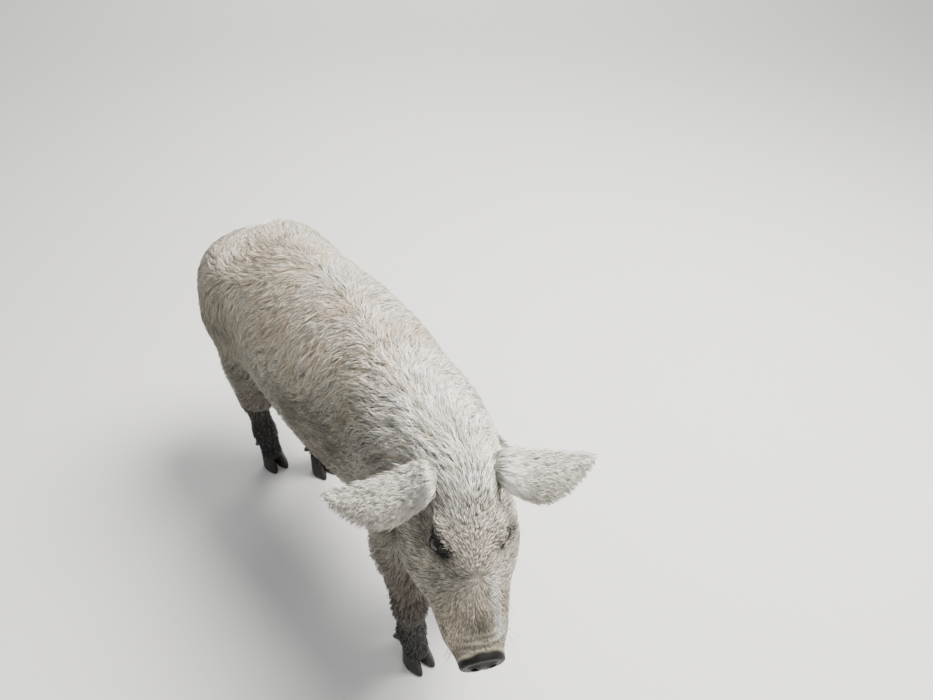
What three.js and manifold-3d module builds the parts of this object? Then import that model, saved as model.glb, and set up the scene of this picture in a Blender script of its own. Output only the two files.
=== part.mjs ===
// A standing curly-coated farm pig of a lean, young adult build, life size.
// Its head is lowered and turned to its right.
// Millimetres, +X towards the head, +Y to the animal's left, +Z up.
// The origin is on the floor under the middle of the body.
// The body is a field of blended ellipsoids and tapered capsules.
// Its zero level is meshed for each part of the body.
// Flat tapered locks of hair are laid along the lie of the coat.
import * as THREE from "three";
import { mergeVertices } from "three/addons/utils/BufferGeometryUtils.js";
import Module from "manifold-3d";

const wasm = await Module();
wasm.setup();
const { Manifold, Mesh } = wasm;

// Driving dimensions
const waistHalfWidth = 142;
const withersBend = 18.6;
const earLength = 158;
const earHalfWidth = 42;
const earForwardBow = 25;
const earDroop = 34;
const earFringe = 62;
const tasselLength = 92;
const eyeRadius = 12.5;
const lidThickness = 4.6;
const snoutHalfWidth = 34;
const snoutHalfHeight = 27;
const nostrilSpacing = 14.5;
const clawGap = 0.8;
const jointGap = 0.3;
const weld = 0.01;

// The pose of the head: its poll, and how it is turned and lowered
const poll = new THREE.Vector3(338, -32, 617);
const headYaw = -27.5;
const headPitch = 41.5;
const headRoll = -5;

// The coat's core stands this far off the skin on the trunk, the shanks and the face.
// The locks' tips stand further out.
const trunkCoat = 6;
const lockTip = 15;
const shankCoat = 2.5;
const faceCoat = 1.5;

// Levels where the legs are parted, and the cannon's foot
const elbowLevel = 318;
const stifleLevel = 330;
const kneeLevel = 196;
const hockLevel = 222;
const clawLevel = 50;

// A seeded random draw, so that each build is the same
function seeded(seed) {
  let state = seed;
  return () => {
    state = (state * 1664525 + 1013904223) % 4294967296;
    return state / 4294967296;
  };
}

// Fields: a point inside the body has a negative value, and values are close to distances
const smoothMin = (a, b, k) => {
  const h = Math.max(k - Math.abs(a - b), 0) / k;
  return Math.min(a, b) - h * h * k * 0.25;
};

// A frame turned to the left by yaw, nose down by pitch and rolled, all in degrees
function turned(yaw, pitch, roll) {
  const [y, p, r] = [yaw, pitch, roll].map(THREE.MathUtils.degToRad);
  const forward = new THREE.Vector3(Math.cos(y) * Math.cos(p), Math.sin(y) * Math.cos(p), -Math.sin(p));
  const level = new THREE.Vector3(-Math.sin(y), Math.cos(y), 0);
  const rise = new THREE.Vector3().crossVectors(forward, level);
  const left = level.clone().multiplyScalar(Math.cos(r)).addScaledVector(rise, Math.sin(r));
  const up = new THREE.Vector3().crossVectors(forward, left);
  return new THREE.Matrix4().makeBasis(forward, left, up);
}

const headTurn = turned(headYaw, headPitch, headRoll);
const headBack = headTurn.clone().transpose();
const headAt = (x, y, z) => new THREE.Vector3(x, y, z).applyMatrix4(headTurn).add(poll);
const headWay = (x, y, z) => new THREE.Vector3(x, y, z).applyMatrix4(headTurn).normalize();
const inHead = (p) => p.clone().sub(poll).applyMatrix4(headBack);

function ellipsoid(centre, radii, toLocal) {
  const q = new THREE.Vector3();
  const near = new THREE.Vector3();
  const far = new THREE.Vector3();
  const squares = radii.clone().multiply(radii);
  return (p) => {
    q.copy(p).sub(centre);
    if (toLocal) q.applyMatrix4(toLocal);
    const a = near.copy(q).divide(radii).length();
    const b = far.copy(q).divide(squares).length() + 1e-9;
    return (a * (a - 1)) / b;
  };
}

function taper(from, to, fromRadius, toRadius) {
  const way = to.clone().sub(from);
  const q = new THREE.Vector3();
  return (p) => {
    q.copy(p).sub(from);
    const t = THREE.MathUtils.clamp(q.dot(way) / way.lengthSq(), 0, 1);
    return q.addScaledVector(way, -t).length() - (fromRadius + (toRadius - fromRadius) * t);
  };
}

// Smooth interpolation through stations, with the slope at each one taken from its neighbours
function through(xs, ys) {
  const last = xs.length - 1;
  const slope = ys.map((_, i) => {
    if (i === 0) return (ys[1] - ys[0]) / (xs[1] - xs[0]);
    if (i === last) return (ys[last] - ys[last - 1]) / (xs[last] - xs[last - 1]);
    const before = xs[i] - xs[i - 1];
    const after = xs[i + 1] - xs[i];
    const rising = (ys[i + 1] - ys[i]) / after;
    const risen = (ys[i] - ys[i - 1]) / before;
    return (risen * after + rising * before) / (before + after);
  });
  return (x) => {
    const at = THREE.MathUtils.clamp(x, xs[0], xs[last]);
    let i = 0;
    while (i < last - 1 && at > xs[i + 1]) i += 1;
    const h = xs[i + 1] - xs[i];
    const t = (at - xs[i]) / h;
    const s = 1 - t;
    return (
      (1 + 2 * t) * s * s * ys[i] + t * s * s * h * slope[i] +
      t * t * (3 - 2 * t) * ys[i + 1] - t * t * s * h * slope[i + 1]
    );
  };
}

// The trunk's outline at stations from the tail to the withers: back line, underline and half width
const stations = [-540, -495, -415, -310, -175, -20, 120, 230, 310];
const backLine = through(stations, [600, 645, 680, 693, 700, 702, 694, 684, 660]);
const underLine = through(stations, [545, 480, 420, 375, 342, 324, 322, 345, 385]);
const halfWidth = through(stations, [40, 90, 118, 138, waistHalfWidth + 4, waistHalfWidth, 120, 90, 70]);
const withers = stations[stations.length - 1];

// The trunk's middle bends to the animal's right ahead of the loin
const bendOf = (x) => -withersBend * (Math.max(x, 0) / withers) ** 2;

const trunkRoundness = 2.25;
const trunkSteepness = 0.92;
function trunk(p) {
  const top = backLine(p.x);
  const under = underLine(p.x);
  const wide = halfWidth(p.x);
  const tall = (top - under) / 2;
  const y = Math.abs(p.y - bendOf(p.x)) / wide;
  const z = Math.abs(p.z - (top + under) / 2) / tall;
  const around = (y ** trunkRoundness + z ** trunkRoundness) ** (1 / trunkRoundness);
  const near = (around - 1) * Math.min(wide, tall) * trunkSteepness;
  const beyond = Math.max(stations[0] - p.x, p.x - withers);
  return beyond > 0 ? Math.hypot(Math.max(near, 0), beyond) : near;
}

// Each leg's joints from the trunk to the fetlock: position and radius
const vec = (x, y, z) => new THREE.Vector3(x, y, z);
const stance = {
  foreleg_left: vec(238, 92, 0),
  foreleg_right: vec(272, -104, 0),
  hindleg_left: vec(-318, 6, 0),
  hindleg_right: vec(-418, -86, 0),
};
const legChains = {};
for (const [name, foot] of Object.entries(stance)) {
  const s = name.endsWith("left") ? 1 : -1;
  legChains[name] = name.startsWith("fore")
    ? [
        [vec(245, s * 84, 450), 62],
        [vec(238, s * 94, 345), 45],
        [vec(foot.x + 2, foot.y, 195), 29],
        [vec(foot.x - 3, foot.y, 98), 23],
        [vec(foot.x + 12, foot.y, 42), 25],
      ]
    : [
        [vec(-345, s * 96, 405), 62],
        [vec(foot.x * 0.35 - 235, (s * 96 + foot.y) / 2, 290), 42],
        [vec(foot.x - 32, foot.y, 215), 29.5],
        [vec(foot.x - 10, foot.y, 105), 22.5],
        [vec(foot.x + 8, foot.y, 42), 25],
      ];
}

const isLeft = (s) => (s > 0 ? "left" : "right");
const pieces = [];
const grow = (where, blend, field) => pieces.push({ where, blend, field });
grow("trunk", 50, trunk);
for (const s of [1, -1]) {
  grow("trunk", 44, ellipsoid(vec(-388, s * 62, 546), vec(134, 90, 116)));
  grow("trunk", 44, taper(vec(-372, s * 72, 505), vec(-358, s * 88, 375), 84, 56));
  grow("trunk", 40, ellipsoid(vec(205, s * 52 - 8, 500), vec(100, 62, 142)));
}
for (const [name, chain] of Object.entries(legChains))
  for (let i = 0; i + 1 < chain.length; i += 1)
    grow(name, 30, taper(chain[i][0], chain[i + 1][0], chain[i][1], chain[i + 1][1]));
grow("neck", 44, taper(vec(205, -14, 545), headAt(12, 0, -34), 94, 68));
grow("neck", 40, taper(vec(170, -8, 628), headAt(0, 0, 8), 52, 46));
grow("neck", 40, taper(vec(250, -18, 455), headAt(48, 0, -80), 72, 44));
grow("head", 24, ellipsoid(headAt(40, 0, -4), vec(88, 58, 72), headBack));
grow("head", 20, ellipsoid(headAt(105, 0, 12), vec(66, 50, 40), headBack));
grow("head", 20, taper(headAt(110, 0, -16), headAt(292, 0, -34), 52, 34));
grow("head", 22, taper(headAt(60, 0, -82), headAt(266, 0, -62), 44, 22));
for (const s of [1, -1]) {
  grow("head", 26, ellipsoid(headAt(104, s * 52, -70), vec(96, 46, 50), headBack));
  grow("head", 16, ellipsoid(headAt(112, s * 45, -12), vec(48, 15, 22), headBack));
  grow("head", 14, ellipsoid(headAt(104, s * 45, 36), vec(28, 13, 12), headBack));
  grow("head", 14, taper(headAt(180, s * 24, -40), headAt(296, s * 15, -34), 32, 23));
  grow("head", 20, taper(headAt(135, s * 42, -62), headAt(262, s * 24, -46), 42, 28));
}

// The field of chosen parts of the body
function fieldOf(...wanted) {
  const [first, ...others] = pieces.filter((piece) => wanted.includes(piece.where));
  return (p) => others.reduce((f, { field, blend }) => smoothMin(f, field(p), blend), first.field(p));
}
const legNames = Object.keys(legChains);
const wholeBody = fieldOf("trunk", ...legNames, "neck", "head");

// Where the body is parted: neck from trunk, neck from brisket, head from neck, snout disk from head
const half = jointGap / 2;
const neckCut = { point: vec(250, -12, 560), way: vec(0.92, -0.22, 0.20).normalize() };
const chestCut = { point: vec(300, -20, 425), way: vec(0.35, 0, 0.94).normalize() };
const headCut = { point: headAt(-24, 0, 0), way: headWay(1, 0, 0.50) };
const snoutCut = { point: headAt(304, 0, -30), way: headWay(1, 0, 0.58) };

// The coat thins down the legs and from the nape to the brow
const napeReach = 60;
function coatAt(p) {
  const upper = THREE.MathUtils.smoothstep(p.z, hockLevel - 40, stifleLevel + 70);
  const body = THREE.MathUtils.lerp(shankCoat, trunkCoat, upper);
  if (p.x < neckCut.point.x || p.z < elbowLevel) return body;
  const nape = 1 - THREE.MathUtils.smoothstep(inHead(p).x, -napeReach, napeReach);
  return THREE.MathUtils.lerp(faceCoat, body, nape);
}
const coated = (field) => (p) => field(p) - coatAt(p);

function slopeOf(field, p) {
  const step = 2;
  const g = new THREE.Vector3();
  for (const axis of ["x", "y", "z"]) {
    const a = p.clone();
    const b = p.clone();
    a[axis] += step;
    b[axis] -= step;
    g[axis] = field(a) - field(b);
  }
  return g.normalize();
}

// A closed solid from vertex positions and triangles
function manifoldOf(positions, triangles) {
  return new Manifold(new Mesh({
    numProp: 3,
    vertProperties: new Float32Array(positions),
    triVerts: new Uint32Array(triangles),
  }));
}

// Meshes the zero level of a field inside a box, with one vertex in each cell that the surface crosses
function surfaceOf(field, low, high, cell) {
  const size = high.clone().sub(low);
  const counts = [size.x, size.y, size.z].map((d) => Math.ceil(d / cell) + 1);
  const [nx, ny, nz] = counts;
  const at = (i, j, k) => (i * ny + j) * nz + k;
  const values = new Float64Array(nx * ny * nz);
  const p = new THREE.Vector3();
  for (let i = 0; i < nx; i += 1)
    for (let j = 0; j < ny; j += 1)
      for (let k = 0; k < nz; k += 1) {
        const rim = !i || !j || !k || i === nx - 1 || j === ny - 1 || k === nz - 1;
        p.set(low.x + i * cell, low.y + j * cell, low.z + k * cell);
        values[at(i, j, k)] = rim ? cell : field(p);
      }
  const corner = [0, 1, 2, 3, 4, 5, 6, 7].map((n) => [n & 1, (n >> 1) & 1, n >> 2]);
  const edges = [];
  corner.forEach((a, i) => [1, 2, 4].forEach((bit) => !(i & bit) && edges.push([i, i | bit])));
  const vertexOf = new Int32Array(values.length).fill(-1);
  const positions = [];
  for (let i = 0; i + 1 < nx; i += 1)
    for (let j = 0; j + 1 < ny; j += 1)
      for (let k = 0; k + 1 < nz; k += 1) {
        const f = corner.map(([a, b, c]) => values[at(i + a, j + b, k + c)]);
        const crossed = edges.filter(([a, b]) => f[a] < 0 !== f[b] < 0);
        if (!crossed.length) continue;
        const middle = [0, 0, 0];
        for (const [a, b] of crossed) {
          const t = f[a] / (f[a] - f[b]);
          for (const n of [0, 1, 2]) {
            const place = corner[a][n] + t * (corner[b][n] - corner[a][n]);
            middle[n] += place / crossed.length;
          }
        }
        vertexOf[at(i, j, k)] = positions.length / 3;
        const place = vec(i + middle[0], j + middle[1], k + middle[2]).multiplyScalar(cell).add(low);
        positions.push(place.x, place.y, place.z);
      }
  const triangles = [];
  const steps = [[1, 0, 0], [0, 1, 0], [0, 0, 1]];
  for (let i = 0; i + 1 < nx; i += 1)
    for (let j = 0; j + 1 < ny; j += 1)
      for (let k = 0; k + 1 < nz; k += 1)
        steps.forEach(([a, b, c], axis) => {
          const here = values[at(i, j, k)] < 0;
          if (here === values[at(i + a, j + b, k + c)] < 0) return;
          const u = steps[(axis + 1) % 3];
          const v = steps[(axis + 2) % 3];
          const quad = [[1, 1], [0, 1], [0, 0], [1, 0]].map(([m, n]) =>
            vertexOf[at(i - m * u[0] - n * v[0], j - m * u[1] - n * v[1], k - m * u[2] - n * v[2])]);
          if (!here) quad.reverse();
          triangles.push(quad[0], quad[1], quad[2], quad[0], quad[2], quad[3]);
        });
  return manifoldOf(positions, triangles);
}

// A three.js geometry as a solid
function solidOf(geometry, matrix) {
  const g = geometry.index ? geometry.toNonIndexed() : geometry.clone();
  g.deleteAttribute("normal");
  g.deleteAttribute("uv");
  if (matrix) g.applyMatrix4(matrix);
  const merged = mergeVertices(g, 1e-3);
  return manifoldOf(merged.attributes.position.array, merged.index.array);
}

// The largest closed surface of a solid, without loose scraps or sealed hollows
function largest(solid) {
  const bodies = solid.decompose();
  return bodies.reduce((a, b) => (b.volume() > a.volume() ? b : a));
}

// A block that covers one side of a plane: what lies ahead of the point along the way
function ahead(point, way, reach = 900) {
  const block = new THREE.BoxGeometry(reach, reach * 2, reach * 2);
  block.translate(reach / 2, 0, 0);
  const turn = new THREE.Matrix4().makeRotationFromQuaternion(
    new THREE.Quaternion().setFromUnitVectors(vec(1, 0, 0), way.clone().normalize()));
  turn.setPosition(point);
  return solidOf(block, turn);
}

function block(low, high) {
  const size = high.clone().sub(low);
  const box = new THREE.BoxGeometry(size.x, size.y, size.z);
  box.translate((low.x + high.x) / 2, (low.y + high.y) / 2, (low.z + high.z) / 2);
  return solidOf(box);
}

// A closed skin over rings of points: the first and last rings are closed by a cap
function loftOf(rings) {
  const count = rings[0].length;
  const positions = rings.flat().flatMap((p) => [p.x, p.y, p.z]);
  const triangles = [];
  for (let i = 0; i + 1 < rings.length; i += 1)
    for (let j = 0; j < count; j += 1) {
      const a = i * count + j;
      const b = i * count + ((j + 1) % count);
      triangles.push(a, b, b + count, a, b + count, a + count);
    }
  const end = (rings.length - 1) * count;
  for (let j = 1; j + 1 < count; j += 1) {
    triangles.push(0, j + 1, j);
    triangles.push(end, end + j, end + j + 1);
  }
  const made = manifoldOf(positions, triangles);
  if (made.volume() > 0) return made;
  for (let i = 0; i < triangles.length; i += 3) {
    const second = triangles[i + 1];
    triangles[i + 1] = triangles[i + 2];
    triangles[i + 2] = second;
  }
  return manifoldOf(positions, triangles);
}

// The lie of the hair: back along the body and down its sides, steeper over the rump, with a slow wave
const rumpStart = -440;
const rumpFall = 0.8;
function lieAt(p, normal) {
  const wave = 0.5 * Math.sin(p.x / 62 + p.z / 47) + 0.35 * Math.sin(p.y / 38 - p.x / 90);
  const beside = Math.abs(p.y - bendOf(p.x));
  const fall = 0.25 + beside / 130 + (p.x < rumpStart ? rumpFall : 0);
  const lie = vec(-1, 0, -fall).projectOnPlane(normal).normalize();
  return lie.applyAxisAngle(normal, wave);
}

// A flat lock of three sides that tapers to its tip and follows the surface of a field from its root
function lockOn(field, root, lie, { long, wide, thick, levels }) {
  const steps = levels.length - 1;
  const p = root.clone();
  const line = levels.map((level, i) => {
    const normal = slopeOf(field, p);
    if (i) p.addScaledVector(lie(p, normal), long / steps);
    p.addScaledVector(normal, level - field(p));
    return { at: p.clone(), normal };
  });
  return lockAlong(line, wide, thick);
}

// The lock's body along a line of points and normals
function lockAlong(line, wide, thick) {
  const steps = line.length - 1;
  const rings = line.map(({ at, normal }, i) => {
    const t = i / steps;
    const from = line[Math.max(i - 1, 0)].at;
    const along = line[Math.min(i + 1, steps)].at.clone().sub(from).normalize();
    const beside = new THREE.Vector3().crossVectors(normal, along).normalize();
    const halfWide = (wide / 2) * Math.max(Math.sin(Math.PI * (0.2 + 0.8 * t)), 0.08);
    const rise = thick * (1 - 0.75 * t);
    return [
      at.clone().addScaledVector(beside, halfWide).addScaledVector(normal, -rise / 2),
      at.clone().addScaledVector(normal, rise / 2),
      at.clone().addScaledVector(beside, -halfWide).addScaledVector(normal, -rise / 2),
    ];
  });
  return loftOf(rings);
}

// Roots spread evenly over a field's surface inside a box, at least a spacing apart
function rootsOn(field, low, high, spacing, tries, draw, wanted) {
  const roots = [];
  for (let n = 0; n < tries; n += 1) {
    const p = vec(
      THREE.MathUtils.lerp(low.x, high.x, draw()),
      THREE.MathUtils.lerp(low.y, high.y, draw()),
      THREE.MathUtils.lerp(low.z, high.z, draw()),
    );
    for (let i = 0; i < 4; i += 1) p.addScaledVector(slopeOf(field, p), -field(p));
    if (Math.abs(field(p)) > 1 || !wanted(p)) continue;
    if (roots.every((other) => other.distanceTo(p) > spacing)) roots.push(p);
  }
  return roots;
}

// Hair colours and horn, as named finishes
const finish = (color, roughness) => new THREE.MeshStandardMaterial({ color, roughness, metalness: 0 });
const looks = {
  coat: finish("#cdc3ae", 0.9),
  face: finish("#b3a58f", 0.9),
  shank: finish("#5a4c3c", 0.85),
  claw: finish("#2b2826", 0.5),
  snout: finish("#3a3533", 0.45),
  eye: finish("#141110", 0.1),
};
const animal = new THREE.Group();

// The surface of a solid with points closer than the weld made one
function weldedOf(solid) {
  const mesh = solid.getMesh();
  const loose = new THREE.BufferGeometry();
  loose.setAttribute("position", new THREE.BufferAttribute(new Float32Array(mesh.vertProperties), 3));
  loose.setIndex(new THREE.BufferAttribute(new Uint32Array(mesh.triVerts), 1));
  const geometry = mergeVertices(loose, weld);
  const corners = geometry.index.array;
  const kept = [];
  for (let i = 0; i < corners.length; i += 3) {
    const [a, b, c] = corners.subarray(i, i + 3);
    if (a !== b && b !== c && c !== a) kept.push(a, b, c);
  }
  geometry.setIndex(kept);
  return geometry;
}

function add(name, solid, material, shift = new THREE.Vector3()) {
  const geometry = weldedOf(largest(solidOf(weldedOf(largest(solid)))));
  geometry.computeVertexNormals();
  const made = new THREE.Mesh(geometry, material);
  made.name = name;
  made.position.copy(shift);
  animal.add(made);
}

// What lies beyond a cut moved by a distance along its way
const beyondCut = ({ point, way }, by) => ahead(point.clone().addScaledVector(way, by), way);

// Each leg's column: the box that holds it, and the levels where it is parted
const footRoom = { x: 70, y: 60 };
const outerRoom = 110;
const innerRoom = 92;
const legs = legNames.map((name) => {
  const foot = stance[name];
  const fore = name.startsWith("fore");
  const [top, joint] = fore ? [elbowLevel, kneeLevel] : [stifleLevel, hockLevel];
  const root = legChains[name][1][0];
  const isLeftLeg = name.endsWith("left");
  const lengthwise = fore ? 100 : 115;
  const toRight = isLeftLeg ? innerRoom : outerRoom;
  const toLeft = isLeftLeg ? outerRoom : innerRoom;
  const rear = Math.min(foot.x - footRoom.x, root.x - lengthwise);
  const front = Math.max(foot.x + footRoom.x, root.x + lengthwise);
  const low = vec(rear, Math.min(foot.y - footRoom.y, root.y - toRight), -10);
  const high = vec(front, Math.max(foot.y + footRoom.y, root.y + toLeft), top);
  return { name, foot, joint, low, high };
});
const isInLegColumn = (p) => legs.some(({ low, high }) => new THREE.Box3(low, high).containsPoint(p));

// Trunk
let torso = surfaceOf(coated(wholeBody), vec(-620, -240, 250), vec(420, 240, 780), 42);
const bodyLock = { long: 140, wide: 74, thick: 13, levels: [-12, 4, 9, 12, lockTip - 1] };
const lockSpacing = 86;
const lockVariety = 0.35;
const lockTries = 9000;
const coatDraw = seeded(101);
const varied = (size) => size * (1 + lockVariety * (coatDraw() - 0.5));
const bodyLockOn = (p) => {
  const long = varied(bodyLock.long);
  const wide = varied(bodyLock.wide);
  return lockOn(wholeBody, p, lieAt, { ...bodyLock, long, wide });
};

// Locks keep off the face, the legs' columns and the root of the tail
const tailClear = { x: -430, y: 78 };
const isByTail = (p) => p.x < tailClear.x && Math.abs(p.y) < tailClear.y;
const takesLock = (p) => inHead(p).x < 10 && !isByTail(p) && !isInLegColumn(p);
const coatLow = vec(-600, -200, 300);
const coatHigh = vec(460, 200, 760);
const bodyRoots = rootsOn(wholeBody, coatLow, coatHigh, lockSpacing, lockTries, coatDraw, takesLock);
const isBeyond = ({ point, way }, p) => way.dot(p.clone().sub(point)) > 0;
const isOnNeck = (p) => isBeyond(neckCut, p) && isBeyond(chestCut, p);
const bodyLocks = bodyRoots.filter((p) => !isOnNeck(p)).map(bodyLockOn);
torso = Manifold.union([torso, ...bodyLocks]);
torso = torso.subtract(beyondCut(neckCut, -half).intersect(beyondCut(chestCut, -half)));
for (const { low, high } of legs) torso = torso.subtract(block(low, high.clone().setZ(high.z + half)));
add("torso", torso, looks.coat);

// Neck
let neck = surfaceOf(coated(wholeBody), vec(120, -220, 330), vec(480, 160, 790), 32);
const neckLocks = bodyRoots.filter(isOnNeck).map(bodyLockOn);
neck = Manifold.union([neck, ...neckLocks]);
neck = neck.intersect(beyondCut(neckCut, half)).intersect(beyondCut(chestCut, half));
neck = neck.subtract(beyondCut(headCut, -half));
add("neck", neck, looks.coat);

// Ears: a cupped leaf on each side, thick at the root and thin at the rim
function earLoft(s) {
  const root = headAt(20, s * 46, 50);
  const out = headWay(0.10, s * 0.97, 0.16);
  const front = headWay(0.96, s * -0.06, -0.30);
  const back = new THREE.Vector3().crossVectors(front, out).multiplyScalar(s).normalize();
  const rows = 9;
  const across = 9;
  const rings = [];
  for (let i = 0; i <= rows; i += 1) {
    const t = i / rows;
    const blunt = Math.sqrt(Math.max(1 - t ** 3.2, 0.006));
    const wide = earHalfWidth * (0.52 + 1.75 * t * (1 - t)) * blunt;
    const thick = THREE.MathUtils.lerp(8, 2.4, Math.sqrt(t)) / 2;
    const cup = wide * THREE.MathUtils.lerp(0.62, 0.16, t);
    const centre = root.clone().addScaledVector(out, earLength * t).addScaledVector(back, -earDroop * t * t)
      .addScaledVector(front, earForwardBow * Math.sin(Math.PI * t));
    const upper = [];
    const lower = [];
    for (let j = 0; j < across; j += 1) {
      const u = (2 * j) / (across - 1) - 1;
      const line = centre.clone().addScaledVector(front, wide * u).addScaledVector(back, -cup * u * u);
      const rim = thick * Math.sqrt(1 - 0.85 * u * u);
      upper.push(line.clone().addScaledVector(back, rim));
      lower.push(line.clone().addScaledVector(back, -rim));
    }
    rings.push([...upper, ...lower.reverse()]);
  }
  // Locks that lie on the ear's back and hang past its rear rim
  const fringe = [0.12, 0.32, 0.52, 0.72].map((t, n) => {
    const ring = rings[Math.round(t * rows)];
    const from = ring[2].clone().lerp(ring[3], 0.5).addScaledVector(back, -2);
    const length = earFringe * (1 - 0.35 * t) * (n % 2 ? 0.85 : 1);
    const line = [0, 1, 2, 3].map((step) => {
      const u = step / 3;
      const lift = 7 * Math.sin(Math.PI * u * 0.8) - 6 * u * u;
      const at = from.clone().addScaledVector(out, length * 0.75 * u)
        .addScaledVector(front, -length * 0.55 * u).addScaledVector(back, lift);
      return { at, normal: back };
    });
    return lockAlong(line, 26, 6);
  });
  return Manifold.union([loftOf(rings), ...fringe]);
}

// Head, with eye sockets, lids, nostril openings and the line of the mouth cut into it
const eyeAt = (s) => headAt(118, s * 51, 22);
function ball(centre, radius, parts) {
  const sphere = new THREE.SphereGeometry(radius, parts, Math.round(parts * 0.6));
  return solidOf(sphere, new THREE.Matrix4().makeTranslation(centre.x, centre.y, centre.z));
}
const headField = fieldOf("neck", "head");
const headBox = [vec(240, -260, 330), vec(640, 110, 800)];
let head = surfaceOf(coated(headField), ...headBox, 15);
for (const cut of [headCut, neckCut, chestCut]) head = head.intersect(beyondCut(cut, half));
head = head.subtract(beyondCut(snoutCut, -half));
for (const s of [1, -1]) {
  // Upper and lower lids: a ring round the eye, opened along the slit
  const outward = headWay(0.25, s * 0.90, 0.35);
  const lid = new THREE.TorusGeometry(eyeRadius * 0.86, lidThickness, 6, 14);
  lid.scale(1.25, 0.86, 1);
  const along = headWay(0.86, s * -0.42, -0.28).projectOnPlane(outward).normalize();
  const upward = new THREE.Vector3().crossVectors(outward, along);
  const place = new THREE.Matrix4().makeBasis(along, upward, outward)
    .setPosition(eyeAt(s).addScaledVector(outward, 7));
  head = head.add(solidOf(lid, place));
}
for (const s of [1, -1]) head = head.subtract(ball(eyeAt(s), eyeRadius + jointGap, 12));

// The mouth: a thin curved wedge between the lips, from the snout back to the corner below the eye
const mouth = { front: 306, corner: 168, level: -52, sag: 6, lift: 12, reach: 80 };
function mouthCut(s) {
  const rings = [];
  const steps = 9;
  for (let i = 0; i <= steps; i += 1) {
    const t = i / steps;
    const x = THREE.MathUtils.lerp(mouth.front, mouth.corner, t);
    const z = mouth.level - mouth.sag * Math.sin(Math.PI * t) + mouth.lift * t * t;
    const deep = THREE.MathUtils.lerp(14, 26, t);
    const open = THREE.MathUtils.lerp(5.7, 3.5, t);
    const section = [[deep, 0], [mouth.reach, open], [mouth.reach, -open]];
    rings.push(section.map(([y, dz]) => headAt(x, s * y, z + dz)));
  }
  return loftOf(rings);
}
for (const s of [1, -1]) head = head.subtract(mouthCut(s));
add("head", head, looks.face);
for (const s of [1, -1]) {
  const outward = headWay(0.10, s * 0.97, 0.16).multiplyScalar(jointGap);
  add("ear_" + isLeft(s), earLoft(s).subtract(head), looks.coat, outward);
  add("eye_" + isLeft(s), ball(eyeAt(s), eyeRadius, 12), looks.eye);
}

// Snout disk with its two nostrils
{
  const rings = [];
  const parts = 18;
  // Distance ahead of the cut, and the ring's size against the disk's
  const profile = [[0.3, 0.90], [5, 1.0], [11, 1.08], [15, 1.05], [17.5, 0.94], [18, 0.5]];
  const right = headWay(0, 1, 0);
  const up = new THREE.Vector3().crossVectors(snoutCut.way, right);
  for (const [forth, scale] of profile) {
    const ring = [];
    for (let j = 0; j < parts; j += 1) {
      const a = (2 * Math.PI * j) / parts;
      const notch = 1 - 0.05 * Math.exp(-((Math.sin(a) + 1) ** 2) / 0.03);
      ring.push(snoutCut.point.clone().addScaledVector(snoutCut.way, forth + half)
        .addScaledVector(right, snoutHalfWidth * scale * Math.cos(a) * notch)
        .addScaledVector(up, snoutHalfHeight * scale * Math.sin(a) * notch + 1));
    }
    rings.push(ring);
  }
  let disk = loftOf(rings);
  for (const s of [1, -1]) {
    const nostril = new THREE.CylinderGeometry(7, 4.5, 30, 10);
    nostril.rotateZ(Math.PI / -2);
    nostril.scale(1, 1.25, 0.85);
    const place = new THREE.Matrix4().makeBasis(snoutCut.way, right, up)
      .setPosition(snoutCut.point.clone().addScaledVector(snoutCut.way, 21)
        .addScaledVector(right, s * nostrilSpacing));
    disk = disk.subtract(solidOf(nostril, place));
  }
  add("snout_disk", disk, looks.snout);
}

// Tail: hanging behind the ham, with a slight bend to the animal's right
const tailLine = new THREE.CatmullRomCurve3([
  vec(-500, 0, 612), vec(-532, 0, 606), vec(-556, -3, 575),
  vec(-564, -8, 520), vec(-566, -14, 460), vec(-562, -16, 400),
]);
const tuftStart = 0.55;
{
  const rings = [];
  const steps = 12;
  const parts = 8;
  for (let i = 0; i <= steps; i += 1) {
    const t = i / steps;
    const centre = tailLine.getPoint(t);
    const along = tailLine.getTangent(t);
    const beside = vec(0, 1, 0).projectOnPlane(along).normalize();
    const other = new THREE.Vector3().crossVectors(along, beside);
    const tuft = t > tuftStart ? 9 * Math.sin(Math.PI * Math.min(1, (t - tuftStart) / 0.5)) : 0;
    const radius = THREE.MathUtils.lerp(17, 7, t) + tuft;
    const ring = [];
    for (let j = 0; j < parts; j += 1) {
      const a = (2 * Math.PI * j) / parts;
      ring.push(centre.clone().addScaledVector(beside, radius * Math.cos(a))
        .addScaledVector(other, radius * Math.sin(a)));
    }
    rings.push(ring);
  }
  const tassel = [0, 1, 2, 3, 4].map((n) => {
    const turn = (2 * Math.PI * n) / 5 + 0.4;
    const from = tailLine.getPoint(0.6 + 0.05 * (n % 4));
    const outward = vec(Math.cos(turn), Math.sin(turn), 0);
    const line = [0, 1, 2, 3, 4].map((step) => {
      const u = step / 4;
      const swell = 4 + 15 * Math.sin(Math.PI * (0.1 + 0.75 * u));
      const at = from.clone().addScaledVector(outward, swell);
      return { at: at.add(vec(2 * u, -6 * u, -tasselLength * u)), normal: outward };
    });
    return lockAlong(line, 24, 9);
  });
  const tail = Manifold.union([loftOf(rings), ...tassel]);
  add("tail", tail.subtract(torso), looks.coat, vec(-jointGap, 0, 0));
}

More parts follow.
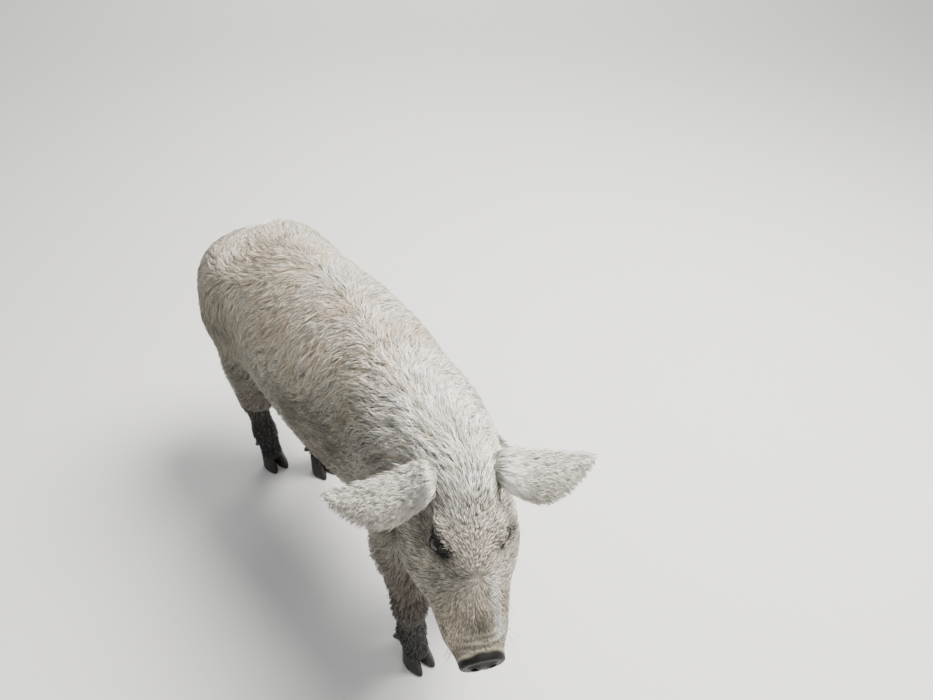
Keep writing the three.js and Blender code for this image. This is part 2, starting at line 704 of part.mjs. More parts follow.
// Legs, with two claws and two dewclaws each
const beyondBody = vec(900, 400, 0);
for (const { name, foot, joint, low, high } of legs) {
  const reach = vec(40, 40, 80);
  const legField = coated(fieldOf("trunk", name));
  const whole = surfaceOf(legField, low.clone().sub(reach), high.clone().add(reach), 23);
  const leg = whole.intersect(block(low.clone().addScalar(half), high.clone().addScalar(-half)));
  const below = block(beyondBody.clone().negate().setZ(-20), beyondBody.clone().setZ(joint + half));
  const cannonLow = beyondBody.clone().negate().setZ(clawLevel + half);
  const between = block(cannonLow, beyondBody.clone().setZ(joint - half));
  add(name + "_upper", leg.subtract(below), looks.coat);
  const lower = leg.intersect(between);
  add(name + "_lower", lower, looks.shank);
  for (const [place, s] of [["inner", foot.y < 0 ? 1 : -1], ["outer", foot.y < 0 ? -1 : 1]]) {
    // A claw: a blunt wedge, round in front, flat inside and below
    const rings = [];
    // Level, how far its middle is ahead of the foot's, half length and half width
    const rows = [
      [clawLevel - half, 2, 17, 12], [34, 7, 22, 13], [14, 14, 28, 14.5], [3, 18, 32, 15], [0, 18, 31, 14],
    ];
    for (const [z, forth, halfLong, halfWide] of rows) {
      const ring = [];
      const parts = 10;
      for (let j = 0; j < parts; j += 1) {
        const a = (2 * Math.PI * j) / parts;
        const c = Math.cos(a);
        const d = Math.sin(a);
        const narrow = 1 - 0.28 * Math.max(c, 0);
        const y = foot.y + s * (halfWide + clawGap) + halfWide * d * narrow;
        ring.push(vec(foot.x + forth + halfLong * c, y, z));
      }
      rings.push(ring);
    }
    add(`${name}_claw_${place}`, loftOf(rings), looks.claw);
    // A dewclaw: a small blunt cone behind the fetlock
    const root = vec(foot.x - 8, foot.y + s * 15, 82);
    const tip = vec(foot.x - 40, foot.y + s * 22, 44);
    const cone = [];
    for (let i = 0; i <= 3; i += 1) {
      const t = i / 3;
      const centre = root.clone().lerp(tip, t);
      const along = tip.clone().sub(root).normalize();
      const beside = vec(0, 1, 0).projectOnPlane(along).normalize();
      const other = new THREE.Vector3().crossVectors(along, beside);
      const radius = [9, 9, 7.5, 3.5][i];
      const ring = [];
      for (let j = 0; j < 7; j += 1) {
        const a = (2 * Math.PI * j) / 7;
        ring.push(centre.clone().addScaledVector(beside, radius * Math.cos(a))
          .addScaledVector(other, radius * Math.sin(a)));
      }
      cone.push(ring);
    }
    const outward = tip.clone().sub(root).setLength(jointGap);
    add(`${name}_dewclaw_${place}`, loftOf(cone).subtract(lower), looks.claw, outward);
  }
}

// The origin lies on the floor under the middle of the bounding box
animal.position.set(16.2, 30.6, 0);

export default animal;
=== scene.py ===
"""A life-size curly-coated farm pig, standing with its head lowered and turned to its right.

The flesh is one skin over a field of blended ellipsoids and tapered capsules, with the ears, lids, lips,
nostrils and wrinkles on it. The coat is solid strands in tufts over that skin, along the lie of the hair.
Lengths are in metres: +X towards the head, +Y to the animal's left, +Z up.
"""
import functools
import math

import bpy
import numpy as np
from bpy.props import FloatProperty, FloatVectorProperty, IntProperty, PointerProperty
from mathutils import Matrix, Vector
from mathutils.kdtree import KDTree


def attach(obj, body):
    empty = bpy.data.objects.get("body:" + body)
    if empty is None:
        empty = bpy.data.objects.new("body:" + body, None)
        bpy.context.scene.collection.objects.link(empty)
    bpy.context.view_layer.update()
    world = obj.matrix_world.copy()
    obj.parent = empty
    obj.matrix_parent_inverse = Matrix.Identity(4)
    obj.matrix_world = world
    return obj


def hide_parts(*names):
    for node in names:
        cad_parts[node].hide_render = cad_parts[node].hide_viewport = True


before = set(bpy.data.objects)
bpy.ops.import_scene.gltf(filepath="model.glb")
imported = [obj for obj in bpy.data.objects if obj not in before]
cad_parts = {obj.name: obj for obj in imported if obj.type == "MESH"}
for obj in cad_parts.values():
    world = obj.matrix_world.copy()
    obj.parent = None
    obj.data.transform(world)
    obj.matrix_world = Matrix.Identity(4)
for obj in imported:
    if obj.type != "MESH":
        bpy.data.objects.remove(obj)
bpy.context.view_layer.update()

bl_info = {
    "name": "Curly-coated pig",
    "version": (1, 0, 0),
    "blender": (4, 5, 0),
    "location": "3D View > Sidebar > Pig",
    "description": "Builds the skin, eyes, claws and wavy coat of a standing pig over its solid model",
    "category": "Object",
}

# The model's frame lies this far from the body's own numbers
FRAME_SHIFT = np.array([0.0162, 0.0306, 0.0])

# The head: its poll, and how it is turned, lowered and rolled, in degrees
POLL = np.array([0.338, -0.032, 0.617])
HEAD_YAW, HEAD_PITCH, HEAD_ROLL = -27.5, 41.5, -5.0
EYE_AT = (0.118, 0.051, 0.022)
EYE_RADIUS = 0.0125
SNOUT_AT = (0.304, 0.0, -0.030)
EAR_LENGTH, EAR_HALF_WIDTH = 0.158, 0.042
CLAW_LEVEL, CLAW_GAP = 0.050, 0.0008

# The mouth in the head's frame: its front, how far it runs back, its level, how far it sags and then
# rises, and the width and swell of the lips and the height of the slit between them
MOUTH_FRONT, MOUTH_RUN, MOUTH_LEVEL = 0.306, 0.138, -0.052
MOUTH_SAG, MOUTH_RISE, LIP_WIDTH, LIP_SWELL, SLIT_WIDTH = 0.006, 0.012, 0.006, 0.0022, 0.0016

# The snout's disk: half its width and height, the radius between them that turns shares into
# lengths, and the radii of its nostrils and their distance from the middle
DISK_HALF_WIDTH, DISK_HALF_HEIGHT, DISK_MEAN_RADIUS = 0.0380, 0.0295, 0.032
NOSTRIL, NOSTRIL_SPACING = (0.020, 0.0070, 0.0088), 0.0145

# The dark patch round the eye, in the eye's frame: the dark skin round the eye, with painted shade of its
# deep socket
EYE_PATCH_AT, EYE_PATCH_REACH = (-0.001, 0.003, 0), (0.029, 0.019, 0.045)

# The lids stand this far off the eye, and the eye has this much play in its socket
LID_THICKNESS, EYE_PLAY = 0.0030, 0.0004

# The body's mesh stops and the head's starts at these places in the head's frame, along and up.
# The body's is kept behind and below a place and a level of the trunk.
BODY_SEAM, HEAD_SEAM = (-0.004, -0.175), (-0.012, -0.185)
NECK_FRONT, NECK_LEVEL = 0.26, 0.36

# The meshes of the body and of the finer head: low corner, high corner and cell. The shanks are cut
# off at a level that the claws cover.
BODY_GRID = ((-0.62, -0.24, 0.0), (0.62, 0.22, 0.76), 0.0060)
HEAD_GRID = ((0.24, -0.30, 0.33), (0.64, 0.14, 0.76), 0.0023)
SHANK_END = 0.030

# The unwrap: its sheet, the gap between charts, and the low and high corners of each region
SHEET, CHART_GAP, CHART_INSET = 2.6, 0.01, 0.002
REGIONS = [
    ((-0.60, -0.20, 0.29), (0.50, 0.20, 0.72)),
    ((0.26, -0.28, 0.33), (0.60, 0.12, 0.76)),
    ((0.13, 0.0, 0.0), (0.36, 0.2, 0.34)),
    ((0.13, -0.2, 0.0), (0.36, 0.0, 0.34)),
    ((-0.45, -0.1, 0.0), (-0.18, 0.2, 0.34)),
    ((-0.52, -0.2, 0.0), (-0.30, 0.2, 0.34)),
]

# The size of a strand's patch on the unwrap
STRAND_PATCH = 0.003

# Strands on each ear and on the tail, whiskers in all and lashes on each eye
EAR_STRANDS, TAIL_STRANDS, WHISKERS, LASHES = 4300, 1800, 110, 26

# Half the width of the floor
FLOOR_REACH = 14.0

# Stations along the trunk: back line, underline and half width
STATIONS = [-0.540, -0.495, -0.415, -0.310, -0.175, -0.020, 0.120, 0.230, 0.310]
BACK = [0.600, 0.645, 0.680, 0.693, 0.700, 0.702, 0.694, 0.684, 0.660]
UNDER = [0.545, 0.480, 0.420, 0.375, 0.342, 0.324, 0.322, 0.345, 0.385]
HALF = [0.040, 0.090, 0.118, 0.138, 0.146, 0.142, 0.120, 0.090, 0.070]

STANCE = {
    "foreleg_left": (0.238, 0.092),
    "foreleg_right": (0.272, -0.104),
    "hindleg_left": (-0.318, 0.006),
    "hindleg_right": (-0.418, -0.086),
}
TAIL = [(-0.500, 0, 0.612), (-0.532, 0, 0.606), (-0.556, -0.003, 0.575),
        (-0.564, -0.008, 0.520), (-0.566, -0.014, 0.460), (-0.562, -0.016, 0.400)]
TAIL_RADII = [0.017, 0.015, 0.013, 0.010, 0.008, 0.006]

# Where the lie of the hair turns round on the rump and flanks: place, reach and turn in radians
RUMP_WHORLS = [((-0.400, -0.070, 0.650), 0.075, -1.5), ((-0.390, 0.075, 0.640), 0.070, 1.2),
               ((-0.300, -0.130, 0.560), 0.070, 1.1), ((-0.120, 0.120, 0.600), 0.080, -0.8)]

# The view: heading and fall of the camera in degrees, its place, and its focal length in pixels
# of a frame this wide
VIEW_HEADING, VIEW_FALL = -38.24, 39.3
VIEW_FROM = np.array([0.974, -0.515, 1.50])
VIEW_FOCAL_PX, FRAME_WIDTH_PX, SENSOR_MM = 736.4, 933, 36.0


# --- Plain geometry -------------------------------------------------------------------------------

def unit(v):
    v = np.asarray(v, float)
    return v / (np.linalg.norm(v, axis=-1, keepdims=True) + 1e-12)


def turn(yaw, pitch, roll):
    """Columns: the forward, left and up of a frame turned to the left, nose down, then rolled."""
    y, p, r = np.radians([yaw, pitch, roll])
    forward = np.array([math.cos(y) * math.cos(p), math.sin(y) * math.cos(p), -math.sin(p)])
    level = np.array([-math.sin(y), math.cos(y), 0.0])
    rise = np.cross(forward, level)
    left = level * math.cos(r) + rise * math.sin(r)
    return np.stack([forward, left, np.cross(forward, left)], axis=1)


HEAD = turn(HEAD_YAW, HEAD_PITCH, HEAD_ROLL)


def head_at(x, y, z):
    return POLL + HEAD @ np.array([x, y, z], float)


def head_way(x, y, z):
    return unit(HEAD @ np.array([x, y, z], float))


def in_head(p):
    return (p - POLL) @ HEAD


def fade(low, high, x):
    t = np.clip((x - low) / (high - low), 0, 1)
    return t * t * (3 - 2 * t)


def blend(a, b, t):
    return a + (b - a) * t


def ripple(p, size, seed):
    """A smooth wander between about -1 and 1, with features of the given size."""
    draw = np.random.default_rng(seed)
    total = 0
    for _ in range(5):
        way = unit(draw.normal(size=3)) / size * draw.uniform(0.7, 1.5)
        total = total + np.sin(p @ way * math.tau / 2 + draw.uniform(0, math.tau))
    return total / 2.6


# --- The field of the flesh: negative inside, close to a distance ---------------------------------

def smooth_min(a, b, k):
    h = np.maximum(k - np.abs(a - b), 0) / k
    return np.minimum(a, b) - h * h * k * 0.25


def smooth_max(a, b, k):
    return -smooth_min(-a, -b, k)


def ellipsoid(p, centre, radii, axes=None):
    q = p - np.asarray(centre, float)
    if axes is not None:
        q = q @ axes
    radii = np.asarray(radii, float)
    near = np.sqrt(((q / radii) ** 2).sum(-1))
    far = np.sqrt(((q / radii ** 2) ** 2).sum(-1)) + 1e-9
    return near * (near - 1) / far


def taper(p, start, end, start_radius, end_radius):
    start, end = np.asarray(start, float), np.asarray(end, float)
    way = end - start
    t = np.clip((p - start) @ way / (way @ way), 0, 1)
    q = p - start - t[..., None] * way
    return np.sqrt((q * q).sum(-1)) - (start_radius + (end_radius - start_radius) * t)


def through(x, stations, values):
    """Smooth interpolation through the stations."""
    xs, ys = np.asarray(stations, float), np.asarray(values, float)
    slope = np.gradient(ys, xs)
    x = np.clip(x, xs[0], xs[-1])
    i = np.clip(np.searchsorted(xs, x) - 1, 0, len(xs) - 2)
    h = xs[i + 1] - xs[i]
    t = (x - xs[i]) / h
    s = 1 - t
    return ((1 + 2 * t) * s * s * ys[i] + t * s * s * h * slope[i]
            + t * t * (3 - 2 * t) * ys[i + 1] - t * t * s * h * slope[i + 1])


def bend_of(x):
    """How far the trunk's middle is bent to the animal's left at a station."""
    return -0.06 * np.maximum(x, 0) ** 2 / 0.310


def trunk(p):
    x = p[..., 0]
    top, under, wide = (through(x, STATIONS, v) for v in (BACK, UNDER, HALF))
    tall = (top - under) / 2
    y = np.abs(p[..., 1] - bend_of(x)) / wide
    z = np.abs(p[..., 2] - (top + under) / 2) / tall
    beside = ((y ** 2.25 + z ** 2.25) ** (1 / 2.25) - 1) * np.minimum(wide, tall) * 0.92
    beyond = np.maximum(STATIONS[0] - x, x - STATIONS[-1])
    return np.where(beyond > 0, np.hypot(np.maximum(beside, 0), beyond), beside)


def leg_chain(name):
    """A leg's joints from the trunk to the fetlock, with the radius at each."""
    x, y = STANCE[name]
    s = 1 if name.endswith("left") else -1
    if name.startswith("fore"):
        return [((0.245, s * 0.084, 0.450), 0.062), ((0.238, s * 0.094, 0.345), 0.045),
                ((x + 0.002, y, 0.195), 0.029), ((x - 0.003, y, 0.098), 0.023),
                ((x + 0.012, y, 0.042), 0.025)]
    return [((-0.345, s * 0.096, 0.405), 0.062), ((x * 0.35 - 0.235, (s * 0.096 + y) / 2, 0.290), 0.042),
            ((x - 0.032, y, 0.215), 0.0295), ((x - 0.010, y, 0.105), 0.0225), ((x + 0.008, y, 0.042), 0.025)]


@functools.lru_cache(maxsize=None)
def forms():
    """The body's forms in order, each as a blend width and a function of points."""
    made = [(0.050, trunk)]

    def add(width, shape, *sizes):
        made.append((width, lambda p: shape(p, *sizes)))

    for s in (1, -1):
        add(0.044, ellipsoid, (-0.388, s * 0.062, 0.546), (0.134, 0.090, 0.116))
        add(0.044, taper, (-0.372, s * 0.072, 0.505), (-0.358, s * 0.088, 0.375), 0.084, 0.056)
        add(0.040, ellipsoid, (0.205, s * 0.052 - 0.008, 0.500), (0.100, 0.062, 0.142))
    for name in STANCE:
        chain = leg_chain(name)
        for (a, ra), (b, rb) in zip(chain[:-1], chain[1:]):
            add(0.030, taper, a, b, ra, rb)
    add(0.044, taper, (0.205, -0.014, 0.545), head_at(0.012, 0, -0.034), 0.094, 0.068)
    add(0.040, taper, (0.170, -0.008, 0.628), head_at(0, 0, 0.008), 0.052, 0.046)
    add(0.040, taper, (0.250, -0.018, 0.455), head_at(0.048, 0, -0.080), 0.072, 0.044)
    add(0.024, ellipsoid, head_at(0.040, 0, -0.004), (0.088, 0.058, 0.072), HEAD)
    add(0.020, ellipsoid, head_at(0.105, 0, 0.012), (0.066, 0.050, 0.040), HEAD)
    add(0.020, taper, head_at(0.110, 0, -0.016), head_at(0.292, 0, -0.034), 0.052, 0.034)
    add(0.022, taper, head_at(0.060, 0, -0.082), head_at(0.266, 0, -0.062), 0.044, 0.022)
    for s in (1, -1):
        add(0.026, ellipsoid, head_at(0.104, s * 0.052, -0.070), (0.096, 0.046, 0.050), HEAD)
        add(0.016, ellipsoid, head_at(0.112, s * 0.045, -0.012), (0.048, 0.015, 0.022), HEAD)
        add(0.014, ellipsoid, head_at(0.104, s * 0.045, 0.036), (0.028, 0.013, 0.012), HEAD)
        add(0.014, taper, head_at(0.180, s * 0.024, -0.040), head_at(0.296, s * 0.015, -0.034), 0.032, 0.023)
        add(0.020, taper, head_at(0.135, s * 0.042, -0.062), head_at(0.262, s * 0.024, -0.046), 0.042, 0.028)
    for a, b, ra, rb in zip(TAIL[:-1], TAIL[1:], TAIL_RADII[:-1], TAIL_RADII[1:]):
        add(0.012, taper, a, b, ra, rb)
    return made


def flesh(p):
    """The plain flesh, without the fine forms of the face."""
    total = None
    for width, form in forms():
        f = form(p)
        total = f if total is None else smooth_min(total, f, width)
    return total


def eye_frame(s):
    """The eye's centre, and the ways along its slit, up and out."""
    out = head_way(0.25, s * 0.90, 0.35)
    along = head_way(0.86, s * -0.42, -0.28)
    along = unit(along - (along @ out) * out)
    return head_at(EYE_AT[0], s * EYE_AT[1], EYE_AT[2]), np.stack([along, np.cross(out, along), out], axis=1)


def snout_frame():
    way = head_way(1, 0, 0.58)
    right = head_way(0, 1, 0)
    return head_at(*SNOUT_AT), np.stack([way, right, np.cross(way, right)], axis=1)


def in_eye(p, s):
    """Points in the frame of the left (1) or right (-1) eye."""
    centre, axes = eye_frame(s)
    return (p - centre) @ axes


def in_snout(p):
    """Points in the frame of the snout's disk."""
    centre, axes = snout_frame()
    return (p - centre) @ axes


def face(p):
    """The flesh with its sockets, lids, lips, mouth, snout disk, nostrils and wrinkles."""
    f = flesh(p)
    q = in_head(p)
    x, y, z = q[..., 0], q[..., 1], q[..., 2]
    # Wrinkles across the bridge behind the snout, and slacker folds on the cheeks
    bridge = fade(0.256, 0.272, x) * (1 - fade(0.288, 0.294, x)) * fade(-0.045, -0.018, z)
    bridge = bridge * (0.75 + 0.35 * ripple(p, 0.03, 4))
    f = f + 0.0015 * bridge * np.sin((x + 6.0 * y * y + 0.004 * ripple(p, 0.05, 2)) / 0.0125 * math.tau)
    cheek = fade(0.04, 0.09, x) * (1 - fade(0.17, 0.21, x))
    cheek = cheek * fade(0.02, 0.05, np.abs(y)) * (1 - fade(-0.03, 0.0, z))
    f = f + 0.0012 * cheek * np.sin((x * 0.8 - z * 0.7 + 0.01 * ripple(p, 0.05, 3)) / 0.021 * math.tau)
    # The line of the mouth, with a full lip above and below it
    run = fade(0.160, 0.182, x) * (1 - fade(0.300, 0.308, x))
    t = np.clip((MOUTH_FRONT - x) / MOUTH_RUN, 0, 1)
    line = z - MOUTH_LEVEL + MOUTH_SAG * np.sin(math.pi * t) - MOUTH_RISE * t * t
    for lip in (-0.008, 0.008):
        f = f - LIP_SWELL * run * np.exp(-((line + lip) / LIP_WIDTH) ** 2)
    slit = np.abs(line) - SLIT_WIDTH * run
    f = smooth_max(f, -np.maximum(slit, -(f + 0.010)) - (1 - run) * 0.02, 0.002)
    # The disk of the snout: a flat oval with a rolled rim, a shallow dish and two nostrils
    a, r, u = np.moveaxis(in_snout(p), -1, 0)
    oval = (np.sqrt((r / DISK_HALF_WIDTH) ** 2 + (u / DISK_HALF_HEIGHT) ** 2) - 1) * DISK_MEAN_RADIUS
    dish = 0.0022 * np.exp(-((oval + 0.016) / 0.010) ** 2)
    notch = 0.0035 * np.exp(-(r / 0.004) ** 2) * fade(-0.012, -0.026, u)
    disk = smooth_max(oval + notch, np.abs(a - 0.008) - 0.0100 + np.where(a > 0.008, dish, 0), 0.007)
    f = smooth_min(f, disk, 0.006)
    for s in (1, -1):
        hole = ellipsoid(np.stack([a, r, u], -1), (0.020, s * NOSTRIL_SPACING, 0.001), NOSTRIL)
        f = smooth_max(f, -hole, 0.0025)
        f = f - 0.0016 * np.exp(-(hole / 0.0035) ** 2) * fade(0.010, 0.016, a)
    # Sockets, and a lid above and below each eye
    for s in (1, -1):
        e = in_eye(p, s)
        ball = np.sqrt((e * e).sum(-1)) - EYE_RADIUS
        dent = (((e - (0.002, 0.014, 0.008)) / (0.026, 0.011, 0.016)) ** 2).sum(-1)
        f = f + 0.0050 * np.exp(-dent)
        f = smooth_min(f, ball - LID_THICKNESS, 0.006)
        crease = np.sqrt((e[..., 0] / 1.5) ** 2 + e[..., 1] ** 2) - 0.0175
        f = f + 0.0020 * np.exp(-(crease / 0.0026) ** 2) * fade(0.0, 0.004, e[..., 2])
        f = smooth_max(f, -(ball - EYE_PLAY), 0.001)
        gape = ellipsoid(e, (0, 0.0018, 0.0140), (0.0132, 0.0066, 0.0120))
        f = smooth_max(f, -gape, 0.002)
    return f


def slope(field, p, step=0.0008):
    g = np.empty_like(p)
    for axis in range(3):
        d = np.zeros(3)
        d[axis] = step
        g[:, axis] = field(p + d) - field(p - d)
    return unit(g)


def in_parts(field, p, size=300000):
    return np.concatenate([field(p[i:i + size]) for i in range(0, len(p), size)])


CELL_CORNERS = [(i, j, k) for i in (0, 1) for j in (0, 1) for k in (0, 1)]


def surface(field, low, high, cell):
    """Vertices and quads of the field's zero level, worked out only near it."""
    block = 4
    low = np.asarray(low, float)
    counts = np.ceil((np.asarray(high) - low) / (cell * block)).astype(int)
    lines = [low[i] + cell * block * np.arange(counts[i] + 1) for i in range(3)]
    grid = np.stack(np.meshgrid(*lines, indexing="ij"), -1)
    coarse = in_parts(field, grid.reshape(-1, 3)).reshape(counts + 1)
    cx, cy, cz = counts
    closest = np.min([np.abs(coarse[i:i + cx, j:j + cy, k:k + cz]) for i, j, k in CELL_CORNERS], axis=0)
    near = closest < cell * block * 1.1
    mask, values = near, coarse[:-1, :-1, :-1]
    for axis in range(3):
        mask = np.repeat(mask, block, axis)
        values = np.repeat(values, block, axis)
    spread = mask.copy()
    for axis in range(3):
        spread |= np.roll(mask, 1, axis)
        mask = spread.copy()
    where = np.argwhere(spread)
    values = values.astype(np.float64)
    values[tuple(where.T)] = in_parts(field, low + where * cell)
    return surface_nets(values, low, cell)


def surface_nets(f, low, cell):
    """One vertex in each cell that the surface crosses, and one quad across each crossed edge."""
    inside = f < 0
    shape = np.array(f.shape)
    cx, cy, cz = shape - 1
    count = sum(inside[i:i + cx, j:j + cy, k:k + cz].astype(np.int8) for i, j, k in CELL_CORNERS)
    active = (count > 0) & (count < 8)
    index = np.full(active.shape, -1, np.int64)
    cells = np.argwhere(active)
    index[active] = np.arange(len(cells))
    total, hits = np.zeros((len(cells), 3)), np.zeros(len(cells))
    for a in CELL_CORNERS:
        for axis in range(3):
            if a[axis]:
                continue
            b = list(a)
            b[axis] = 1
            fa, fb = (f[cells[:, 0] + c[0], cells[:, 1] + c[1], cells[:, 2] + c[2]] for c in (a, b))
            hit = (fa < 0) != (fb < 0)
            t = np.where(hit, fa / np.where(hit, fa - fb, 1), 0)
            place = np.array(a, float) + t[:, None] * (np.array(b) - np.array(a))
            total += np.where(hit[:, None], place, 0)
            hits += hit
    vertices = low + (cells + total / hits[:, None]) * cell
    quads = []
    for axis in range(3):
        here, there = [slice(None)] * 3, [slice(None)] * 3
        here[axis], there[axis] = slice(0, -1), slice(1, None)
        fa, fb = inside[tuple(here)], inside[tuple(there)]
        edges = np.argwhere(fa != fb)
        u, v = (axis + 1) % 3, (axis + 2) % 3
        across = edges[:, [u, v]]
        edges = edges[((across > 0) & (across < shape[[u, v]] - 1)).all(1)]
        solid = fa[tuple(edges.T)]
        quad = []
        for du, dv in ((-1, -1), (0, -1), (0, 0), (-1, 0)):
            c = edges.copy()
            c[:, u] += du
            c[:, v] += dv
            quad.append(index[tuple(c.T)])
        quad = np.stack(quad, 1)
        quad[~solid] = quad[~solid][:, ::-1]
        quads.append(quad)
    return vertices, np.concatenate(quads)


def settled(field, vertices, steps=2):
    """Vertices moved onto the field's zero level."""
    for _ in range(steps):
        vertices = vertices - slope(field, vertices) * np.clip(field(vertices), -0.004, 0.004)[:, None]
    return vertices


# --- Markings and painted light: the same colours for skin and coat, from where a point lies on the body ---

def column(values):
    return values[:, None]


def markings_and_painted_light(p, tones):
    """The colour of the animal at each point, with a painted highlight along the back and painted shade on
    the sides and round the eyes.
    """
    q = in_head(p)
    x, y, z = q[:, 0], q[:, 1], q[:, 2]
    side = p[:, 1] - bend_of(p[:, 0])
    height = p[:, 2]
    n1, n2, n3 = (column(ripple(p, size, seed)) for size, seed in ((0.16, 11), (0.06, 12), (0.022, 13)))
    headness = fade(-0.02, 0.09, x) * fade(-0.20, -0.14, z) * fade(0.30, 0.34, p[:, 0] + 0.02 * n2[:, 0])
    colour = np.tile(tones["cream"], (len(p), 1))
    # Painted highlight: white along the left of the spine, where the light from the animal's left falls on
    # the back
    spine_highlight = column(np.exp(-((side - 0.035) / 0.075) ** 2) * fade(0.60, 0.66, height))
    neck = column(fade(0.12, 0.26, p[:, 0]) * fade(0.50, 0.60, height))
    colour = blend(colour, tones["white"], np.clip(0.9 * spine_highlight + 0.8 * neck + 0.25 * n2, 0, 1))
    top = column(fade(0.56, 0.64, height) * (1 - fade(0.0, 0.25, p[:, 0])))
    colour = blend(colour, tones["tan"], np.clip(top * (0.45 * n1 + 0.6 * n2 + 0.25 * n3 - 0.15), 0, 0.55))
    colour = blend(colour, tones["grey"], np.clip(top * (-0.5 * n1 + 0.5 * n3 - 0.25), 0, 0.5))
    # Grey on the lower sides: partly the coat's own grey, partly painted shade on the sides. On the right it
    # reaches higher, as painted shade on the shoulder and painted shadow of the ear on the neck.
    front = 0.07 * fade(0.0, 0.2, p[:, 0]) * (side < 0)
    lower = 1 - fade(0.52, 0.64, height - front + 0.02 * n1[:, 0])
    flank_grey_and_shade = column(fade(0.02, 0.10, np.abs(side)) * lower)
    colour = blend(colour, tones["grey"], np.clip(0.85 * flank_grey_and_shade * (0.9 + 0.3 * n2), 0, 1))
    rear = column((1 - fade(-0.50, -0.40, p[:, 0] + 0.03 * n1[:, 0])) * (1 - fade(0.56, 0.66, height)))
    colour = blend(colour, tones["olive"], 0.8 * rear)
    belly = column(1 - fade(0.31, 0.41, height + 0.012 * n2[:, 0]))
    colour = blend(colour, tones["brown"], 0.8 * belly)
    # Face: grey-tan, paler on the cheeks, dark round the eyes with painted shade in the deep sockets, brown
    # on the bridge, one pale streak
    brow = np.clip(0.50 - column(fade(0.03, 0.12, x)) * 0.6 + 0.2 * n3, 0, 1)
    mask = blend(tones["face"], tones["white"], brow)
    below = 1 - fade(-0.012, 0.010, z)
    cheek = column(np.exp(-((x - 0.145) / 0.050) ** 2) * fade(0.034, 0.052, np.abs(y)) * below)
    mask = blend(mask, tones["cream"] * 1.12, 0.55 * cheek)
    muzzle = column(fade(0.185, 0.235, x))
    mask = blend(mask, tones["tan"] * 1.25, 0.35 * muzzle)
    bridge = column(np.exp(-((x - 0.256) / 0.024) ** 2 - (y / 0.022) ** 2) * fade(-0.03, 0.0, z))
    mask = blend(mask, tones["olive"] * 0.75, 0.9 * bridge)
    streak = np.exp(-((y - 0.034 + 0.05 * (x - 0.2)) / 0.010) ** 2)
    streak = column(streak * fade(0.14, 0.20, x) * (1 - fade(0.27, 0.29, x)))
    streak = np.clip(streak * (1.0 + 0.4 * n3), 0, 1) * column(fade(-0.06, -0.02, z))
    mask = blend(mask, tones["white"], streak)
    under = column(1 - fade(-0.125, -0.075, z))
    mask = blend(mask, tones["grey"], 0.5 * under)
    # Near black round each eye: its dark skin, with painted shade of the deep-set socket
    for s in (1, -1):
        away = (in_eye(p, s) - EYE_PATCH_AT) / EYE_PATCH_REACH
        patch = column(np.exp(-(np.sqrt((away ** 2).sum(1)) ** 3)))
        mask = blend(mask, tones["black"], np.clip(1.8 * patch + 0.5 * n3 * patch, 0, 1))
    disk = in_snout(p)[:, 0]
    mask = blend(mask, tones["grey"] * 0.8, column(0.6 * fade(-0.026, -0.004, disk)))
    mask = blend(mask, tones["snout"], column(fade(0.001, 0.009, disk + 0.002 * n3[:, 0])))
    colour = blend(colour, mask, column(headness))
    shank = column(1 - fade(0.205, 0.300, height + 0.016 * n2[:, 0]))
    colour = blend(colour, tones["brown"] * 0.55, shank)
    low = column(1 - fade(0.12, 0.22, height + 0.012 * n2[:, 0]))
    colour = blend(colour, tones["black"], low)
    return np.clip(colour * (1 + 0.10 * n3 + 0.06 * n2), 0, 1)


# --- Meshes ---------------------------------------------------------------------------------------

def object_of(name, vertices, faces, material, colour=None, counts=None):
    """A mesh object from arrays. Faces are rows of corners, or one run of corners and a count for each."""
    mesh = bpy.data.meshes.new(name)
    loops = np.asarray(faces, np.int32).ravel()
    if counts is None:
        counts = np.full(len(faces), np.asarray(faces).shape[1])
    starts = np.concatenate([[0], np.cumsum(counts)[:-1]]).astype(np.int32)
    mesh.vertices.add(len(vertices))
    mesh.vertices.foreach_set("co", np.asarray(vertices + FRAME_SHIFT, np.float32).ravel())
    mesh.loops.add(len(loops))
    mesh.loops.foreach_set("vertex_index", loops)
    mesh.polygons.add(len(counts))
    mesh.polygons.foreach_set("loop_start", starts)
    mesh.polygons.foreach_set("use_smooth", np.full(len(counts), True))
    mesh.update(calc_edges=True)
    if colour is not None:
        layer = mesh.color_attributes.new("markings_and_painted_light", "FLOAT_COLOR", "POINT")
        rgba = np.ones((len(vertices), 4), np.float32)
        rgba[:, :3] = colour
        layer.data.foreach_set("color", rgba.ravel())
    mesh.materials.append(material)
    made = bpy.data.objects.new(name, mesh)
    bpy.context.scene.collection.objects.link(made)
    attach(made, "root")
    return made


def lofted(rings):
    """Vertices, faces and counts of a closed skin over rings of points, facing out."""
    rings = np.asarray(rings)
    rows, count = rings.shape[:2]
    faces, counts = [], []
    for i in range(rows - 1):
        for j in range(count):
            a, b = i * count + j, i * count + (j + 1) % count
            faces += [a, b, b + count, a + count]
            counts.append(4)
    last = (rows - 1) * count
    faces += list(range(count))[::-1] + [last + j for j in range(count)]
    counts += [count, count]
    vertices = rings.reshape(-1, 3)
    return vertices, facing_out(vertices, np.array(faces), counts), np.array(counts)


def facing_out(vertices, faces, counts):
    """The same faces, turned so that they point out of the closed shape."""
    loops = np.split(faces, np.cumsum(counts)[:-1])
    volume = 0.0
    for loop in loops:
        a, b, c = vertices[loop[0]], vertices[loop[1:-1]], vertices[loop[2:]]
        volume += (np.cross(b, c) @ a).sum()
    return faces if volume > 0 else np.concatenate([loop[::-1] for loop in loops])


def joined(shapes):
    """Several shapes as one: vertices, faces and counts."""
    vertices, faces, counts = zip(*shapes)
    bases = np.cumsum([0] + [len(v) for v in vertices[:-1]])
    faces = [f + base for f, base in zip(faces, bases)]
    return np.concatenate(vertices), np.concatenate(faces), np.concatenate(counts)


